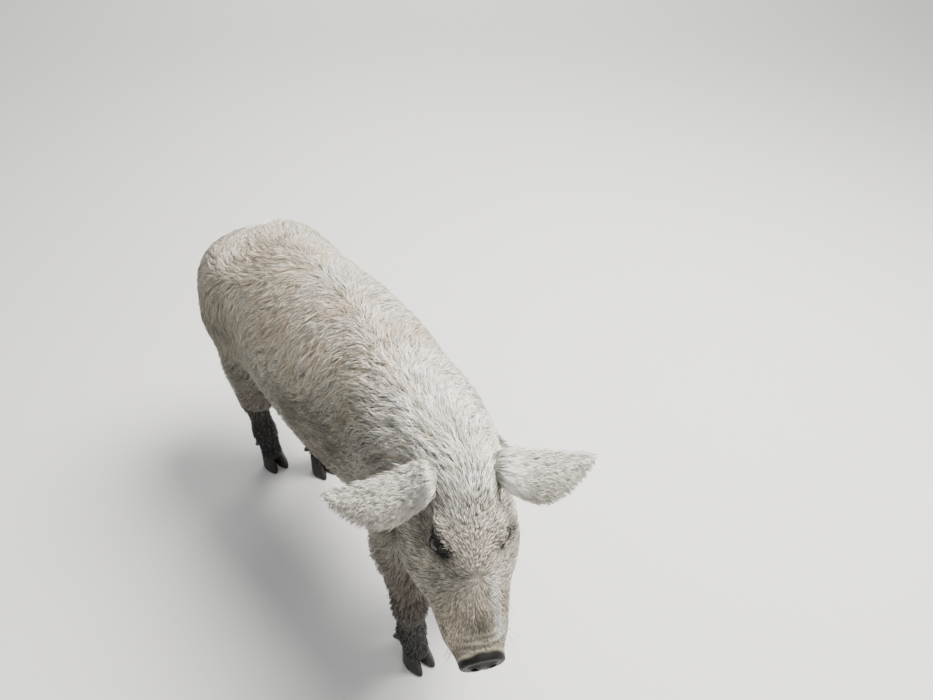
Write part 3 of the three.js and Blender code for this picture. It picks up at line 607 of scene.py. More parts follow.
def ear_rings(s, rows=26, across=19):
    """The ear's leaf: rings of points from its root to its tip, and the ways out, forward and back."""
    root = head_at(0.020, s * 0.046, 0.050)
    out, front = head_way(0.10, s * 0.97, 0.16), head_way(0.96, s * -0.06, -0.30)
    back = unit(np.cross(front, out) * s)
    rings = []
    for t in np.linspace(0, 1, rows + 1):
        wide = EAR_HALF_WIDTH * (0.52 + 1.75 * t * (1 - t)) * math.sqrt(max(1 - t ** 3.2, 0.006))
        thick = blend(0.008, 0.0024, math.sqrt(t)) / 2 * 0.8
        cup = wide * blend(0.62, 0.16, t)
        centre = root + out * EAR_LENGTH * t - back * 0.034 * t * t + front * 0.025 * math.sin(math.pi * t)
        u = np.linspace(-1, 1, across)[:, None]
        waver = 0.0022 * np.sin(t * 9 + u * 4) * np.abs(u)
        line = centre + front * wide * u - back * (cup * u * u) + back * waver
        rim = thick * np.sqrt(1 - 0.85 * u * u)
        rings.append(np.concatenate([line + back * rim, (line - back * rim)[::-1]]))
    return np.array(rings), out, front, back


@functools.lru_cache(maxsize=None)
def skin_parts():
    """Vertices and quads of the body and of the finer head, which overlaps it at the neck."""

    def body(p):
        return smooth_max(flesh(p), SHANK_END - p[..., 2], 0.006)

    bv, bq = surface(body, *BODY_GRID)
    bv = settled(body, bv)
    zone = in_head(bv)
    is_head = (zone[:, 0] > BODY_SEAM[0]) & (zone[:, 2] > BODY_SEAM[1])
    is_head &= (bv[:, 0] > NECK_FRONT) & (bv[:, 2] > NECK_LEVEL)
    bq = bq[~is_head[bq].all(1)]
    hv, hq = surface(face, *HEAD_GRID)
    hv = settled(face, hv)
    zone = in_head(hv)
    keep = (zone[:, 0] > HEAD_SEAM[0]) & (zone[:, 2] > HEAD_SEAM[1])
    hq = hq[keep[hq].all(1)]
    vertices = np.concatenate([bv, hv])
    quads = np.concatenate([bq, hq + len(bv)])
    used, quads = np.unique(quads, return_inverse=True)
    return vertices[used], quads.reshape(-1, 4)


# --- Unwrap of the skin: each region is laid out from six sides, charts packed in rows ------------

def region_of(p):
    q = in_head(p)
    region = np.zeros(len(p), int)
    region[(q[:, 0] > 0.0) & (q[:, 2] > BODY_SEAM[1]) & (p[:, 0] > NECK_FRONT)] = 1
    low = p[:, 2] < 0.33
    region[low & (p[:, 0] > 0.1) & (p[:, 1] > 0)] = 2
    region[low & (p[:, 0] > 0.1) & (p[:, 1] <= 0)] = 3
    split = -0.368 + 0.1 * (p[:, 1] + 0.04)
    region[low & (p[:, 0] < -0.2) & (p[:, 0] >= split)] = 4
    region[low & (p[:, 0] < -0.2) & (p[:, 0] < split)] = 5
    return region


def unwrapped(p, normal):
    """A place on the unwrap for each point, from its region and the side that its normal faces."""
    axis = np.abs(normal).argmax(1)
    chart = region_of(p) * 6 + axis * 2 + (normal[np.arange(len(p)), axis] > 0)
    flat = np.stack([np.where(axis == 0, p[:, 1], p[:, 0]), np.where(axis == 2, p[:, 1], p[:, 2])], 1)
    uv = np.zeros((len(p), 2))
    x = y = tall = 0.0
    for c in range(len(REGIONS) * 6):
        here = chart == c
        if not here.any():
            continue
        low, high = chart_box(c)
        size = high - low
        if x + size[0] > SHEET:
            x, y, tall = 0.0, y + tall + CHART_GAP, 0.0
        uv[here] = flat[here] - low + (x, y)
        x += size[0] + CHART_GAP
        tall = max(tall, size[1])
    return np.clip(uv / SHEET, CHART_INSET, 1 - CHART_INSET)


@functools.lru_cache(maxsize=None)
def chart_box(c):
    region, axis = divmod(c // 2, 3)
    low, high = np.array(REGIONS[region])
    pick = {0: [1, 2], 1: [0, 2], 2: [0, 1]}[axis]
    return low[pick], high[pick]


# --- The coat -------------------------------------------------------------------------------------

def head_share(p):
    q = in_head(p)
    return fade(-0.03, 0.05, q[:, 0]) * fade(-0.20, -0.14, q[:, 2]) * fade(0.27, 0.31, p[:, 0])


def leg_share(p):
    return 1 - fade(0.24, 0.36, p[:, 2])


def lie(p, normal):
    """The way the hair lies: back and down the sides, down the legs, and out from a whorl on the face."""
    side = p[:, 1] - bend_of(p[:, 0])
    rear = 1 - fade(-0.52, -0.36, p[:, 0])
    trunk_share = 1 - fade(0.02, 0.16, p[:, 0])
    down = -0.35 - np.abs(side) / 0.11 - 1.1 * rear
    sweep = (0.35 + 0.85 * trunk_share) * np.tanh(side / 0.035)
    way = np.stack([-1.0 + 0.45 * rear, sweep, down], 1)
    way = blend(way, np.array([-0.30, 0.0, -1.6]), leg_share(p)[:, None])
    swirl = 0.50 * ripple(p, 0.20, 21) + 0.28 * ripple(p, 0.07, 22)
    for centre, reach, most in RUMP_WHORLS:
        swirl = swirl + most * np.exp(-((p - np.array(centre)) ** 2).sum(1) / reach ** 2)
    q = in_head(p)
    x, y, z = q[:, 0], q[:, 1], q[:, 2]
    ahead = np.tanh((x - 0.182 + 0.010 * ripple(p, 0.03, 23)) / 0.050)
    sideways = y / 0.040 + 0.25 * ripple(p, 0.04, 24)
    front = np.stack([ahead, sideways, 0.15 - 0.9 * (1 - fade(-0.06, 0.0, z))], 1)
    head = head_share(p)
    way = blend(unit(way), unit(front) @ HEAD.T, head[:, None])
    way = way - (way * normal).sum(1, keepdims=True) * normal
    way = unit(way)
    angle = (swirl * (1 - 0.75 * head) * (1 - 0.8 * leg_share(p)))[:, None]
    return way * np.cos(angle) + np.cross(normal, way) * np.sin(angle)


def roots_on(vertices, quads, number, draw, weight):
    """Points spread over the quads by area and weight."""
    a, b, c, d = (vertices[quads[:, i]] for i in range(4))
    area = 0.5 * np.linalg.norm(np.cross(c - a, d - b), axis=1)
    chance = area * weight((a + b + c + d) / 4)
    pick = np.searchsorted(np.cumsum(chance) / chance.sum(), draw.random(number))
    pick = np.minimum(pick, len(quads) - 1)
    s, t = draw.random((2, number, 1))
    return (a[pick] * (1 - s) * (1 - t) + b[pick] * s * (1 - t) + c[pick] * s * t + d[pick] * (1 - s) * t)


def laid_paths(roots, length, rise, steps, twist, phase):
    """Paths that follow the lie over the flesh, each rising from the skin to its tip's height."""
    p = roots.copy()
    normal = slope(flesh, p)
    paths, normals = [p.copy()], [normal]
    for k in range(1, steps + 1):
        t = k / steps
        way = lie(p, normal)
        angle = (twist * np.sin(math.tau * (1.15 * t + phase)))[:, None]
        way = way * np.cos(angle) + np.cross(normal, way) * np.sin(angle)
        p = p + way * (length / steps)[:, None]
        height = rise * math.sin(math.pi / 2 * t) ** 0.8
        for _ in range(2):
            normal = slope(flesh, p)
            p = p + normal * (height - flesh(p))[:, None]
        paths.append(p.copy())
        normals.append(normal)
    return np.stack(paths, 1), np.stack(normals, 1)


def gathered(paths, draw, spacing, pull, shades=None):
    """The strands' tips drawn together round leaders a spacing apart, with each strand's leader.

    Where the range of shades is given, one is drawn for each tuft and comes third.
    """
    roots = paths[:, 0]
    order = draw.permutation(len(roots))
    taken, leaders = set(), []
    for i in order:
        key = tuple(np.floor(roots[i] / spacing).astype(int))
        if key not in taken:
            taken.add(key)
            leaders.append(i)
    tree = KDTree(len(leaders))
    for n, i in enumerate(leaders):
        tree.insert(roots[i], n)
    tree.balance()
    nearest = np.array([leaders[tree.find(r)[1]] for r in roots])
    t = np.linspace(0, 1, paths.shape[1])[None, :, None]
    lead = paths[nearest]
    paths = paths + (lead - paths) * pull * t ** 1.3
    if shades is None:
        return paths, nearest
    return paths, nearest, draw.uniform(*shades, len(roots))[nearest]


def strand_mesh(paths, normals, width, thick):
    """Closed strands of three sides along the paths, each ending in a point."""
    number, points = paths.shape[:2]
    steps = points - 1
    along = np.gradient(paths, axis=1)
    beside = unit(np.cross(normals, along))
    t = np.linspace(0, 1, points)[None, :]
    shape = np.sin(math.pi * (0.22 + 0.66 * t)) ** 0.8
    half = (width[:, None] * shape * 0.5)[..., None]
    high = (thick[:, None] * shape * 0.5)[..., None]
    rings = np.stack([paths + beside * half - normals * high, paths + normals * high,
                      paths - beside * half - normals * high], 2)[:, :-1]
    vertices = np.concatenate([rings.reshape(number, steps * 3, 3), paths[:, -1:]], 1)
    per = steps * 3 + 1
    faces, counts = [], []
    for k in range(steps - 1):
        for j in range(3):
            a, b = k * 3 + j, k * 3 + (j + 1) % 3
            faces += [a, b, b + 3, a + 3]
            counts.append(4)
    for j in range(3):
        faces += [(steps - 1) * 3 + j, (steps - 1) * 3 + (j + 1) % 3, per - 1]
        counts.append(3)
    faces += [2, 1, 0]
    counts.append(3)
    everything = (np.arange(number)[:, None] * per + np.array(faces)[None]).ravel()
    level = np.concatenate([np.repeat(np.arange(steps) / steps, 3), [1.0]])
    counts, level = np.tile(counts, number), np.tile(level, number)
    return vertices.reshape(-1, 3), everything, counts, level, per, np.array(faces)


def coat_object(name, paths, normals, width, thick, colour, root_shade=0.70):
    """One piece of the coat, with each strand a small patch on the unwrap at its root."""
    vertices, faces, counts, level, per, pattern = strand_mesh(paths, normals, width, thick)
    shade = np.repeat(colour, per, axis=0) * (root_shade + (1.1 - root_shade) * np.sqrt(level))[:, None]
    made = object_of(name, vertices, faces, finish("wavy_hair"), np.clip(shade, 0, 1), counts)
    uv_root = unwrapped(paths[:, 0], normals[:, 0])
    corner = np.arange(per) % 3 - 1.0
    corner[-1] = 0.0
    upward = np.concatenate([np.repeat(np.linspace(-0.5, 0.3, (per - 1) // 3), 3), [0.5]])
    spread = np.stack([corner * 0.4, upward], 1) * STRAND_PATCH
    uv = uv_root[:, None, :] + spread[None, pattern, :]
    layer = made.data.uv_layers.new(name="OFBake")
    layer.data.foreach_set("uv", np.clip(uv, 0, 1).astype(np.float32).ravel())
    return made


def flecked(colour, draw, leader, tones, tan_share, grey_share):
    """Strand colours with some strands, singly and by tufts, tinted tan or darker grey."""
    number = len(colour)
    chance = 0.5 * draw.random(number) + 0.5 * draw.random(number)[leader]
    tan = np.clip((tan_share + 0.12 - chance) * 5, 0, 0.7)[:, None]
    grey = np.clip((chance - 0.88 + grey_share) * 6, 0, 0.7)[:, None]
    colour = blend(colour, colour * tones["tan"] / tones["tan"].max() * 0.95, tan)
    return blend(colour, colour * 0.55, grey)


# --- Materials ------------------------------------------------------------------------------------

def new_material(name):
    made = bpy.data.materials.new(name)
    made.use_nodes = True
    nodes, links = made.node_tree.nodes, made.node_tree.links
    return made, nodes, links, nodes["Principled BSDF"]


def tinted(nodes, links, shader, scale, low, high, source, stretch):
    """Feeds the shader's colour from the body's colours with their painted highlight and shade, or a given
    colour, with a fine procedural variation.
    """
    place = nodes.new("ShaderNodeTexCoord")
    fit = nodes.new("ShaderNodeMapping")
    fit.inputs["Scale"].default_value = stretch
    noise = nodes.new("ShaderNodeTexNoise")
    noise.inputs["Scale"].default_value = scale
    noise.inputs["Detail"].default_value = 4
    ramp = nodes.new("ShaderNodeMapRange")
    ramp.inputs["To Min"].default_value = low
    ramp.inputs["To Max"].default_value = high
    mix = nodes.new("ShaderNodeMix")
    mix.data_type = "RGBA"
    mix.blend_type = "MULTIPLY"
    mix.inputs["Factor"].default_value = 1.0
    if source is None:
        colour = nodes.new("ShaderNodeAttribute")
        colour.attribute_name = "markings_and_painted_light"
        links.new(colour.outputs["Color"], mix.inputs[6])
    else:
        mix.inputs[6].default_value = (*source, 1)
    links.new(place.outputs["Object"], fit.inputs["Vector"])
    links.new(fit.outputs["Vector"], noise.inputs["Vector"])
    links.new(noise.outputs["Fac"], ramp.inputs["Value"])
    links.new(ramp.outputs["Result"], mix.inputs[7])
    links.new(mix.outputs[2], shader.inputs["Base Color"])
    return noise


def bumped(nodes, links, shader, height, strength, distance):
    bump = nodes.new("ShaderNodeBump")
    bump.inputs["Strength"].default_value = strength
    bump.inputs["Distance"].default_value = distance
    links.new(height, bump.inputs["Height"])
    links.new(bump.outputs["Normal"], shader.inputs["Normal"])


# Each finish: the scale, least and most of its fine variation, its own colour or None for the body's colours
# with their painted highlight and shade, the stretch of the variation, the strength and depth of its bump,
# and the shader's settings
FINISHES = {
    "wavy_hair": (260, 0.80, 1.18, None, (1, 1, 1), None,
                  {"Roughness": 0.52, "Specular IOR Level": 0.35, "Sheen Weight": 0.15}),
    "bristly_skin": (420, 0.72, 1.15, None, (1, 1, 1), (0.5, 0.0012),
                     {"Roughness": 0.72, "Specular IOR Level": 0.25}),
    "moist_snout": (160, 0.55, 1.6, None, (1, 1, 1), (0.7, 0.0014),
                    {"Roughness": 0.42, "Specular IOR Level": 0.16}),
    "dark_horn": (60, 0.40, 1.6, (0.022, 0.019, 0.016), (1, 1, 0.08), (0.5, 0.0010),
                  {"Roughness": 0.48, "Specular IOR Level": 0.32}),
    "wet_eye": (90, 0.6, 1.4, (0.020, 0.011, 0.007), (1, 1, 1), None,
                {"Roughness": 0.08, "Coat Weight": 0.8, "Coat Roughness": 0.03}),
}


@functools.lru_cache(maxsize=None)
def finish(name):
    """The material of that name, made on its first use."""
    scale, low, high, source, stretch, bump, settings = FINISHES[name]
    made, nodes, links, shader = new_material(name)
    noise = tinted(nodes, links, shader, scale, low, high, source, stretch)
    for socket, value in settings.items():
        shader.inputs[socket].default_value = value
    if bump:
        bumped(nodes, links, shader, noise.outputs["Fac"], *bump)
    return made


# --- What a user can change -----------------------------------------------------------------------

def colour_property(label, description, default):
    return FloatVectorProperty(name=label, description=description, subtype="COLOR", size=3,
                               default=default, min=0, max=1)


def length_property(label, description, default):
    return FloatProperty(name=label, description=description, default=default, unit="LENGTH")


def number_property(label, description, default):
    return IntProperty(name=label, description=description, default=default, min=100)


class PigCoatSettings(bpy.types.PropertyGroup):
    """Sizes and numbers of the coat's strands."""

    body_length: length_property("Body hair", "Length of the wavy hair on the trunk", 0.040)
    face_length: length_property("Face hair", "Length of the short hair on the face", 0.0105)
    leg_length: length_property("Leg hair", "Length of the hair on the shanks", 0.013)
    strand_width: length_property("Strand width", "Width of a strand on the trunk", 0.0015)
    tuft_spacing: length_property("Tuft spacing", "Distance between the tufts' leading strands", 0.010)
    body_strands: number_property("Body strands", "Strands on the trunk, neck and thighs", 60000)
    face_strands: number_property("Face strands", "Strands on the face", 28000)
    leg_strands: number_property("Leg strands", "Strands on the shanks", 9000)


class PigColourSettings(bpy.types.PropertyGroup):
    """Colours of the markings and of their painted highlight and shade, shared by skin and coat."""

    cream: colour_property("Cream", "Main colour of the coat", (0.65, 0.585, 0.47))
    white: colour_property("White", "Crest, neck and streaks", (0.90, 0.87, 0.79))
    tan: colour_property("Tan", "Rusty tint on the back and rump", (0.50, 0.38, 0.25))
    grey: colour_property("Grey", "Flanks", (0.26, 0.24, 0.19))
    olive: colour_property("Olive", "Rear of the rump and bridge of the nose", (0.24, 0.205, 0.15))
    brown: colour_property("Brown", "Belly and upper shanks", (0.13, 0.10, 0.075))
    face: colour_property("Face", "Forehead, cheeks and muzzle", (0.57, 0.512, 0.415))
    black: colour_property("Black", "Shanks and round the eyes", (0.018, 0.016, 0.015))
    snout: colour_property("Snout", "Bare skin of the snout", (0.010, 0.009, 0.008))

    def tones(self):
        return {name: np.array(getattr(self, name)) for name in self.__annotations__}


# --- Operators ------------------------------------------------------------------------------------

class PIG_OT_skin(bpy.types.Operator):
    """Builds the skin of the whole body, with its ears, lids, lips, nostrils and wrinkles"""

    bl_idname = "pig.build_skin"
    bl_label = "Skin"

    def execute(self, context):
        tones = context.scene.pig_colours.tones()
        vertices, quads = skin_parts()
        colour = markings_and_painted_light(vertices, tones)
        on_disk = in_snout(vertices)[:, 0][quads].mean(1) > 0.002
        on_disk &= in_head(vertices)[:, 0][quads].mean(1) > 0.25
        self.snout(vertices, quads[on_disk], colour)
        quads = quads[~on_disk]
        hairy = fade(0.0, 1.0, 1 - head_share(vertices)) * 0.30 + 0.70
        shapes = [(vertices, quads.ravel(), np.full(len(quads), 4))]
        colours = [colour * column(hairy * 0.85)]
        for s in (1, -1):
            rings = ear_rings(s)[0]
            shapes.append(lofted(rings))
            inner = np.tile(np.arange(rings.shape[1]) >= rings.shape[1] // 2, len(rings))
            colours.append(np.where(column(inner), tones["face"] * 0.55, tones["cream"] * 0.8))
        v, f, c = joined(shapes)
        made = object_of("skin", v, f, finish("bristly_skin"), np.concatenate(colours), c)
        replaced = ["torso", "neck", "head", "ear_left", "ear_right", "tail"]
        replaced += [leg + part for leg in STANCE for part in ("_upper", "_lower")]
        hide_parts(*replaced)
        return {"FINISHED"}

    @staticmethod
    def snout(vertices, quads, colour):
        used, faces = np.unique(quads, return_inverse=True)
        faces = faces.reshape(-1, 4)
        made = object_of("snout", vertices[used], faces, finish("moist_snout"), colour[used])
        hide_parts("snout_disk")


class PIG_OT_eyes(bpy.types.Operator):
    """Builds the two dark, wet eyes in their sockets"""

    bl_idname = "pig.build_eyes"
    bl_label = "Eyes"

    def execute(self, context):
        for s, name in ((1, "left"), (-1, "right")):
            centre, axes = eye_frame(s)
            rings = []
            around = np.linspace(0, math.tau, 36, endpoint=False)
            for polar in np.linspace(0.02, math.pi - 0.02, 25):
                # The cornea bulges a little in front
                bulge = 1 + 0.05 * math.exp(-(polar / 0.5) ** 2)
                local = np.stack([np.sin(polar) * np.cos(around), np.sin(polar) * np.sin(around),
                                  np.full(len(around), math.cos(polar))], 1)
                rings.append(centre + (local * EYE_RADIUS * bulge) @ axes.T)
            v, f, c = lofted(rings)
            made = object_of("eyeball_" + name, v, f, finish("wet_eye"), counts=c)
            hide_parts("eye_" + name)
        return {"FINISHED"}


class PIG_OT_claws(bpy.types.Operator):
    """Builds the two claws and two dewclaws of each foot"""

    bl_idname = "pig.build_claws"
    bl_label = "Claws"

    def execute(self, context):
        for leg, (x, y) in STANCE.items():
            shapes, names = [], []
            for place, s in (("inner", 1 if y < 0 else -1), ("outer", -1 if y < 0 else 1)):
                shapes.append(self.claw(x, y, s))
                shapes.append(self.dewclaw(x, y, s))
                names += [f"{leg}_claw_{place}", f"{leg}_dewclaw_{place}"]
            v, f, c = joined(shapes)
            made = object_of(leg + "_claws", v, f, finish("dark_horn"), counts=c)
            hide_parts(*names)
        return {"FINISHED"}

    @staticmethod
    def claw(x, y, s, parts=36):
        levels = np.array([0.0, 0.003, 0.014, 0.034, CLAW_LEVEL - 0.0002, 0.060])
        ahead = np.array([0.018, 0.018, 0.014, 0.007, 0.002, -0.001])
        long = np.array([0.031, 0.032, 0.028, 0.022, 0.017, 0.013])
        wide = np.array([0.014, 0.015, 0.0145, 0.013, 0.012, 0.009])
        around = np.linspace(0, math.tau, parts, endpoint=False)
        c, d = np.cos(around), np.sin(around)
        narrow = 1 - 0.28 * np.maximum(c, 0)
        rings = []
        for z in np.concatenate([[0.0, 0.0012], np.linspace(0.003, 0.060, 14)]):
            a, l, w = (np.interp(z, levels, v) for v in (ahead, long, wide))
            growth = 1 - 0.012 * math.sin(z / 0.0048 * math.tau) - (0.03 if z == 0 else 0)
            across = y + s * (w + CLAW_GAP) + w * d * narrow * growth
            rings.append(np.stack([x + a + l * c * growth, across, np.full(parts, z)], 1))
        return lofted(rings)

    @staticmethod
    def dewclaw(x, y, s, parts=18):
        root, tip = np.array([x - 0.008, y + s * 0.015, 0.082]), np.array([x - 0.040, y + s * 0.022, 0.044])
        along = unit(tip - root)
        beside = unit(np.array([0, 1, 0]) - along[1] * along)
        other = np.cross(along, beside)
        around = np.linspace(0, math.tau, parts, endpoint=False)[:, None]
        rings = []
        for t in np.linspace(0, 1, 12):
            radius = np.interp(t, [0, 0.33, 0.67, 0.93, 1], [0.009, 0.009, 0.0075, 0.0045, 0.0015])
            ring = beside * radius * np.cos(around) + other * radius * np.sin(around)
            rings.append(root + (tip - root) * t + ring)
        return lofted(rings)


class PIG_OT_body_coat(bpy.types.Operator):
    """Lays the wavy coat in tufts over the trunk, neck and thighs"""

    bl_idname = "pig.build_body_coat"
    bl_label = "Body coat"

    def execute(self, context):
        settings, tones = context.scene.pig_coat, context.scene.pig_colours.tones()
        draw = np.random.default_rng(5)
        vertices, quads = skin_parts()

        def weight(p):
            upper = fade(0.40, 0.60, p[:, 2]) * 0.5 + 0.5
            return (1 - head_share(p)) ** 0.7 * (1 - leg_share(p)) * upper

        roots = roots_on(vertices, quads, settings.body_strands, draw, weight)
        number = len(roots)
        fluff = np.exp(-((in_head(roots)[:, 0] + 0.03) / 0.05) ** 2) * fade(0.55, 0.62, roots[:, 2])
        under = 1 - fade(0.36, 0.46, roots[:, 2])
        length = settings.body_length * draw.uniform(0.65, 1.20, number)
        length = length * (1 + 0.25 * fluff) * (1 - 0.25 * under)
        rise = draw.uniform(0.0030, 0.0105, number) * (1 + 0.35 * fluff)
        phase = ripple(roots, 0.05, 31) + draw.uniform(-0.06, 0.06, number)
        paths, normals = laid_paths(roots, length, rise, 3, 0.50, phase)
        paths, leader, tuft = gathered(paths, draw, settings.tuft_spacing, 0.45, (0.84, 1.12))
        colour = flecked(markings_and_painted_light(roots, tones), draw, leader, tones, 0.16, 0.10)
        colour = colour * (tuft * draw.uniform(0.84, 1.14, number))[:, None]
        width = settings.strand_width * draw.uniform(0.7, 1.25, number)
        names = ["coat_rump", "coat_hindquarters", "coat_loin", "coat_back",
                 "coat_shoulders", "coat_withers", "coat_neck"]
        order = np.argsort(roots[:, 0])
        for name, part in zip(names, np.array_split(order, len(names))):
            coat_object(name, paths[part], normals[part], width[part], width[part] * 0.45, colour[part])
        return {"FINISHED"}


class PIG_OT_face_coat(bpy.types.Operator):
    """Lays the short hair on the face, longer on the cheeks and brow, with lashes and whiskers"""

    bl_idname = "pig.build_face_coat"
    bl_label = "Face coat"

    def execute(self, context):
        settings, tones = context.scene.pig_coat, context.scene.pig_colours.tones()
        draw = np.random.default_rng(6)
        vertices, quads = skin_parts()

        def weight(p):
            q = in_head(p)
            bare = fade(-0.004, 0.004, in_snout(p)[:, 0])
            for s in (1, -1):
                e = in_eye(p, s)
                open_eye = ((e[:, 0] / 0.015) ** 2 + (e[:, 1] / 0.0075) ** 2 < 1) & (e[:, 2] > 0)
                bare = np.maximum(bare, open_eye)
            line = np.abs(q[:, 2] - MOUTH_LEVEL) < 0.003
            bare = np.maximum(bare, line & (q[:, 0] > 0.18))
            wrinkled = fade(0.248, 0.266, q[:, 0]) * fade(-0.04, -0.02, q[:, 2])
            return head_share(p) ** 0.5 * (1 - bare) * (0.6 + 0.7 * (q[:, 2] > -0.06)) * (1 - 0.55 * wrinkled)

        roots = roots_on(vertices, quads, settings.face_strands, draw, weight)
        number = len(roots)
        q = in_head(roots)
        cheek = fade(0.03, 0.06, np.abs(q[:, 1])) * (1 - fade(0.16, 0.22, q[:, 0]))
        cheek = cheek * (1 - fade(-0.03, 0.0, q[:, 2]))
        brow = 1 - fade(0.02, 0.10, q[:, 0])
        tip = fade(0.20, 0.29, q[:, 0])
        long = 1 + 0.9 * cheek + 1.3 * brow - 0.45 * tip
        near_eye = np.min([np.linalg.norm(roots - eye_frame(s)[0], axis=1) for s in (1, -1)], axis=0)
        long = long * blend(0.55, 1.0, fade(0.018, 0.040, near_eye))
        length = settings.face_length * long * draw.uniform(0.7, 1.2, number)
        rise = length * draw.uniform(0.14, 0.30, number)
        paths, normals = laid_paths(roots, length, rise, 2, 0.12, draw.random(number))
        paths, _, tuft = gathered(paths, draw, 0.0075, 0.35, (0.80, 1.20))
        # One strand in three is much darker, as pepper in the pale hair
        dark = draw.random(number) < 0.34
        pepper = np.where(dark, draw.uniform(0.30, 0.55, number), draw.uniform(0.95, 1.45, number))
        colour = markings_and_painted_light(paths[:, 1], tones) * (tuft * pepper)[:, None]
        width = 0.00092 * draw.uniform(0.8, 1.2, number) * (1 + 0.5 * np.maximum(cheek, brow))
        order = np.argsort(q[:, 0])
        for name, part in zip(("coat_brow", "coat_muzzle"), np.array_split(order, 2)):
            coat_object(name, paths[part], normals[part], width[part], width[part] * 0.5, colour[part],
                        0.42)
        self.lashes_and_whiskers(draw, tones)
        return {"FINISHED"}

    @staticmethod
    def lashes_and_whiskers(draw, tones):
        paths, ways = [], []
        t = np.linspace(0, 1, 4)[:, None]
        for s in (1, -1):
            centre, axes = eye_frame(s)
            for u in np.linspace(-0.85, 0.85, LASHES):
                rim = 0.0052 * math.sqrt(1 - u * u) + 0.001
                start = centre + axes @ np.array([u * EYE_RADIUS, rim, EYE_RADIUS - 0.004 * u * u])
                way = unit(axes @ np.array([0.5 * u, 0.55, 0.75]) + draw.normal(0, 0.08, 3))
                bow = -axes[:, 1] * 0.35
                paths.append(start + (way * t + bow * t * t) * 0.014)
                ways.append(axes[:, 1])
        lashes = len(paths)
        for _ in range(WHISKERS):
            s = draw.choice([-1, 1])
            x = draw.uniform(0.20, 0.298)
            y = s * draw.uniform(0.012, 0.036)
            on_chin = draw.random() < 0.6
            start = head_at(x, y, draw.uniform(-0.088, -0.050) if on_chin else -0.035)
            for _ in range(3):
                n = slope(flesh, start[None])[0]
                start = start - n * flesh(start[None])[0]
            way = unit(n + head_way(0.5, 0, -0.5) * 0.8 + draw.normal(0, 0.15, 3))
            reach = draw.uniform(0.014, 0.030)
            paths.append(start + (way * t - np.array([0, 0, 0.25]) * t * t) * reach)
            ways.append(n)
        paths = np.array(paths)
        normals = np.repeat(np.array(ways)[:, None], 4, 1)
        width = np.full(len(paths), 0.0006)
        colour = np.tile(tones["black"], (len(paths), 1))
        colour[lashes:] = tones["cream"]
        coat_object("lashes_and_whiskers", paths, normals, width, width, colour)


class PIG_OT_leg_coat(bpy.types.Operator):
    """Lays the short, dark hair down the legs"""

    bl_idname = "pig.build_leg_coat"
    bl_label = "Leg coat"

    def execute(self, context):
        settings, tones = context.scene.pig_coat, context.scene.pig_colours.tones()
        draw = np.random.default_rng(7)
        vertices, quads = skin_parts()
        roots = roots_on(vertices, quads, settings.leg_strands, draw,
                         lambda p: leg_share(p) ** 0.6 * fade(0.040, 0.055, p[:, 2]) * (1 - head_share(p)))
        number = len(roots)
        upper = fade(0.16, 0.30, roots[:, 2])
        length = settings.leg_length * (1 + 1.1 * upper) * draw.uniform(0.7, 1.25, number)
        rise = length * draw.uniform(0.12, 0.28, number)
        paths, normals = laid_paths(roots, length, rise, 2, 0.2, draw.random(number))
        paths, _, tuft = gathered(paths, draw, 0.010, 0.45, (0.7, 1.3))
        colour = markings_and_painted_light(roots, tones) * (tuft * draw.uniform(0.8, 1.25, number))[:, None]
        width = 0.0016 * draw.uniform(0.8, 1.2, number) * (1 + 0.3 * upper)
        coat_object("coat_legs", paths, normals, width, width * 0.5, colour)
        return {"FINISHED"}


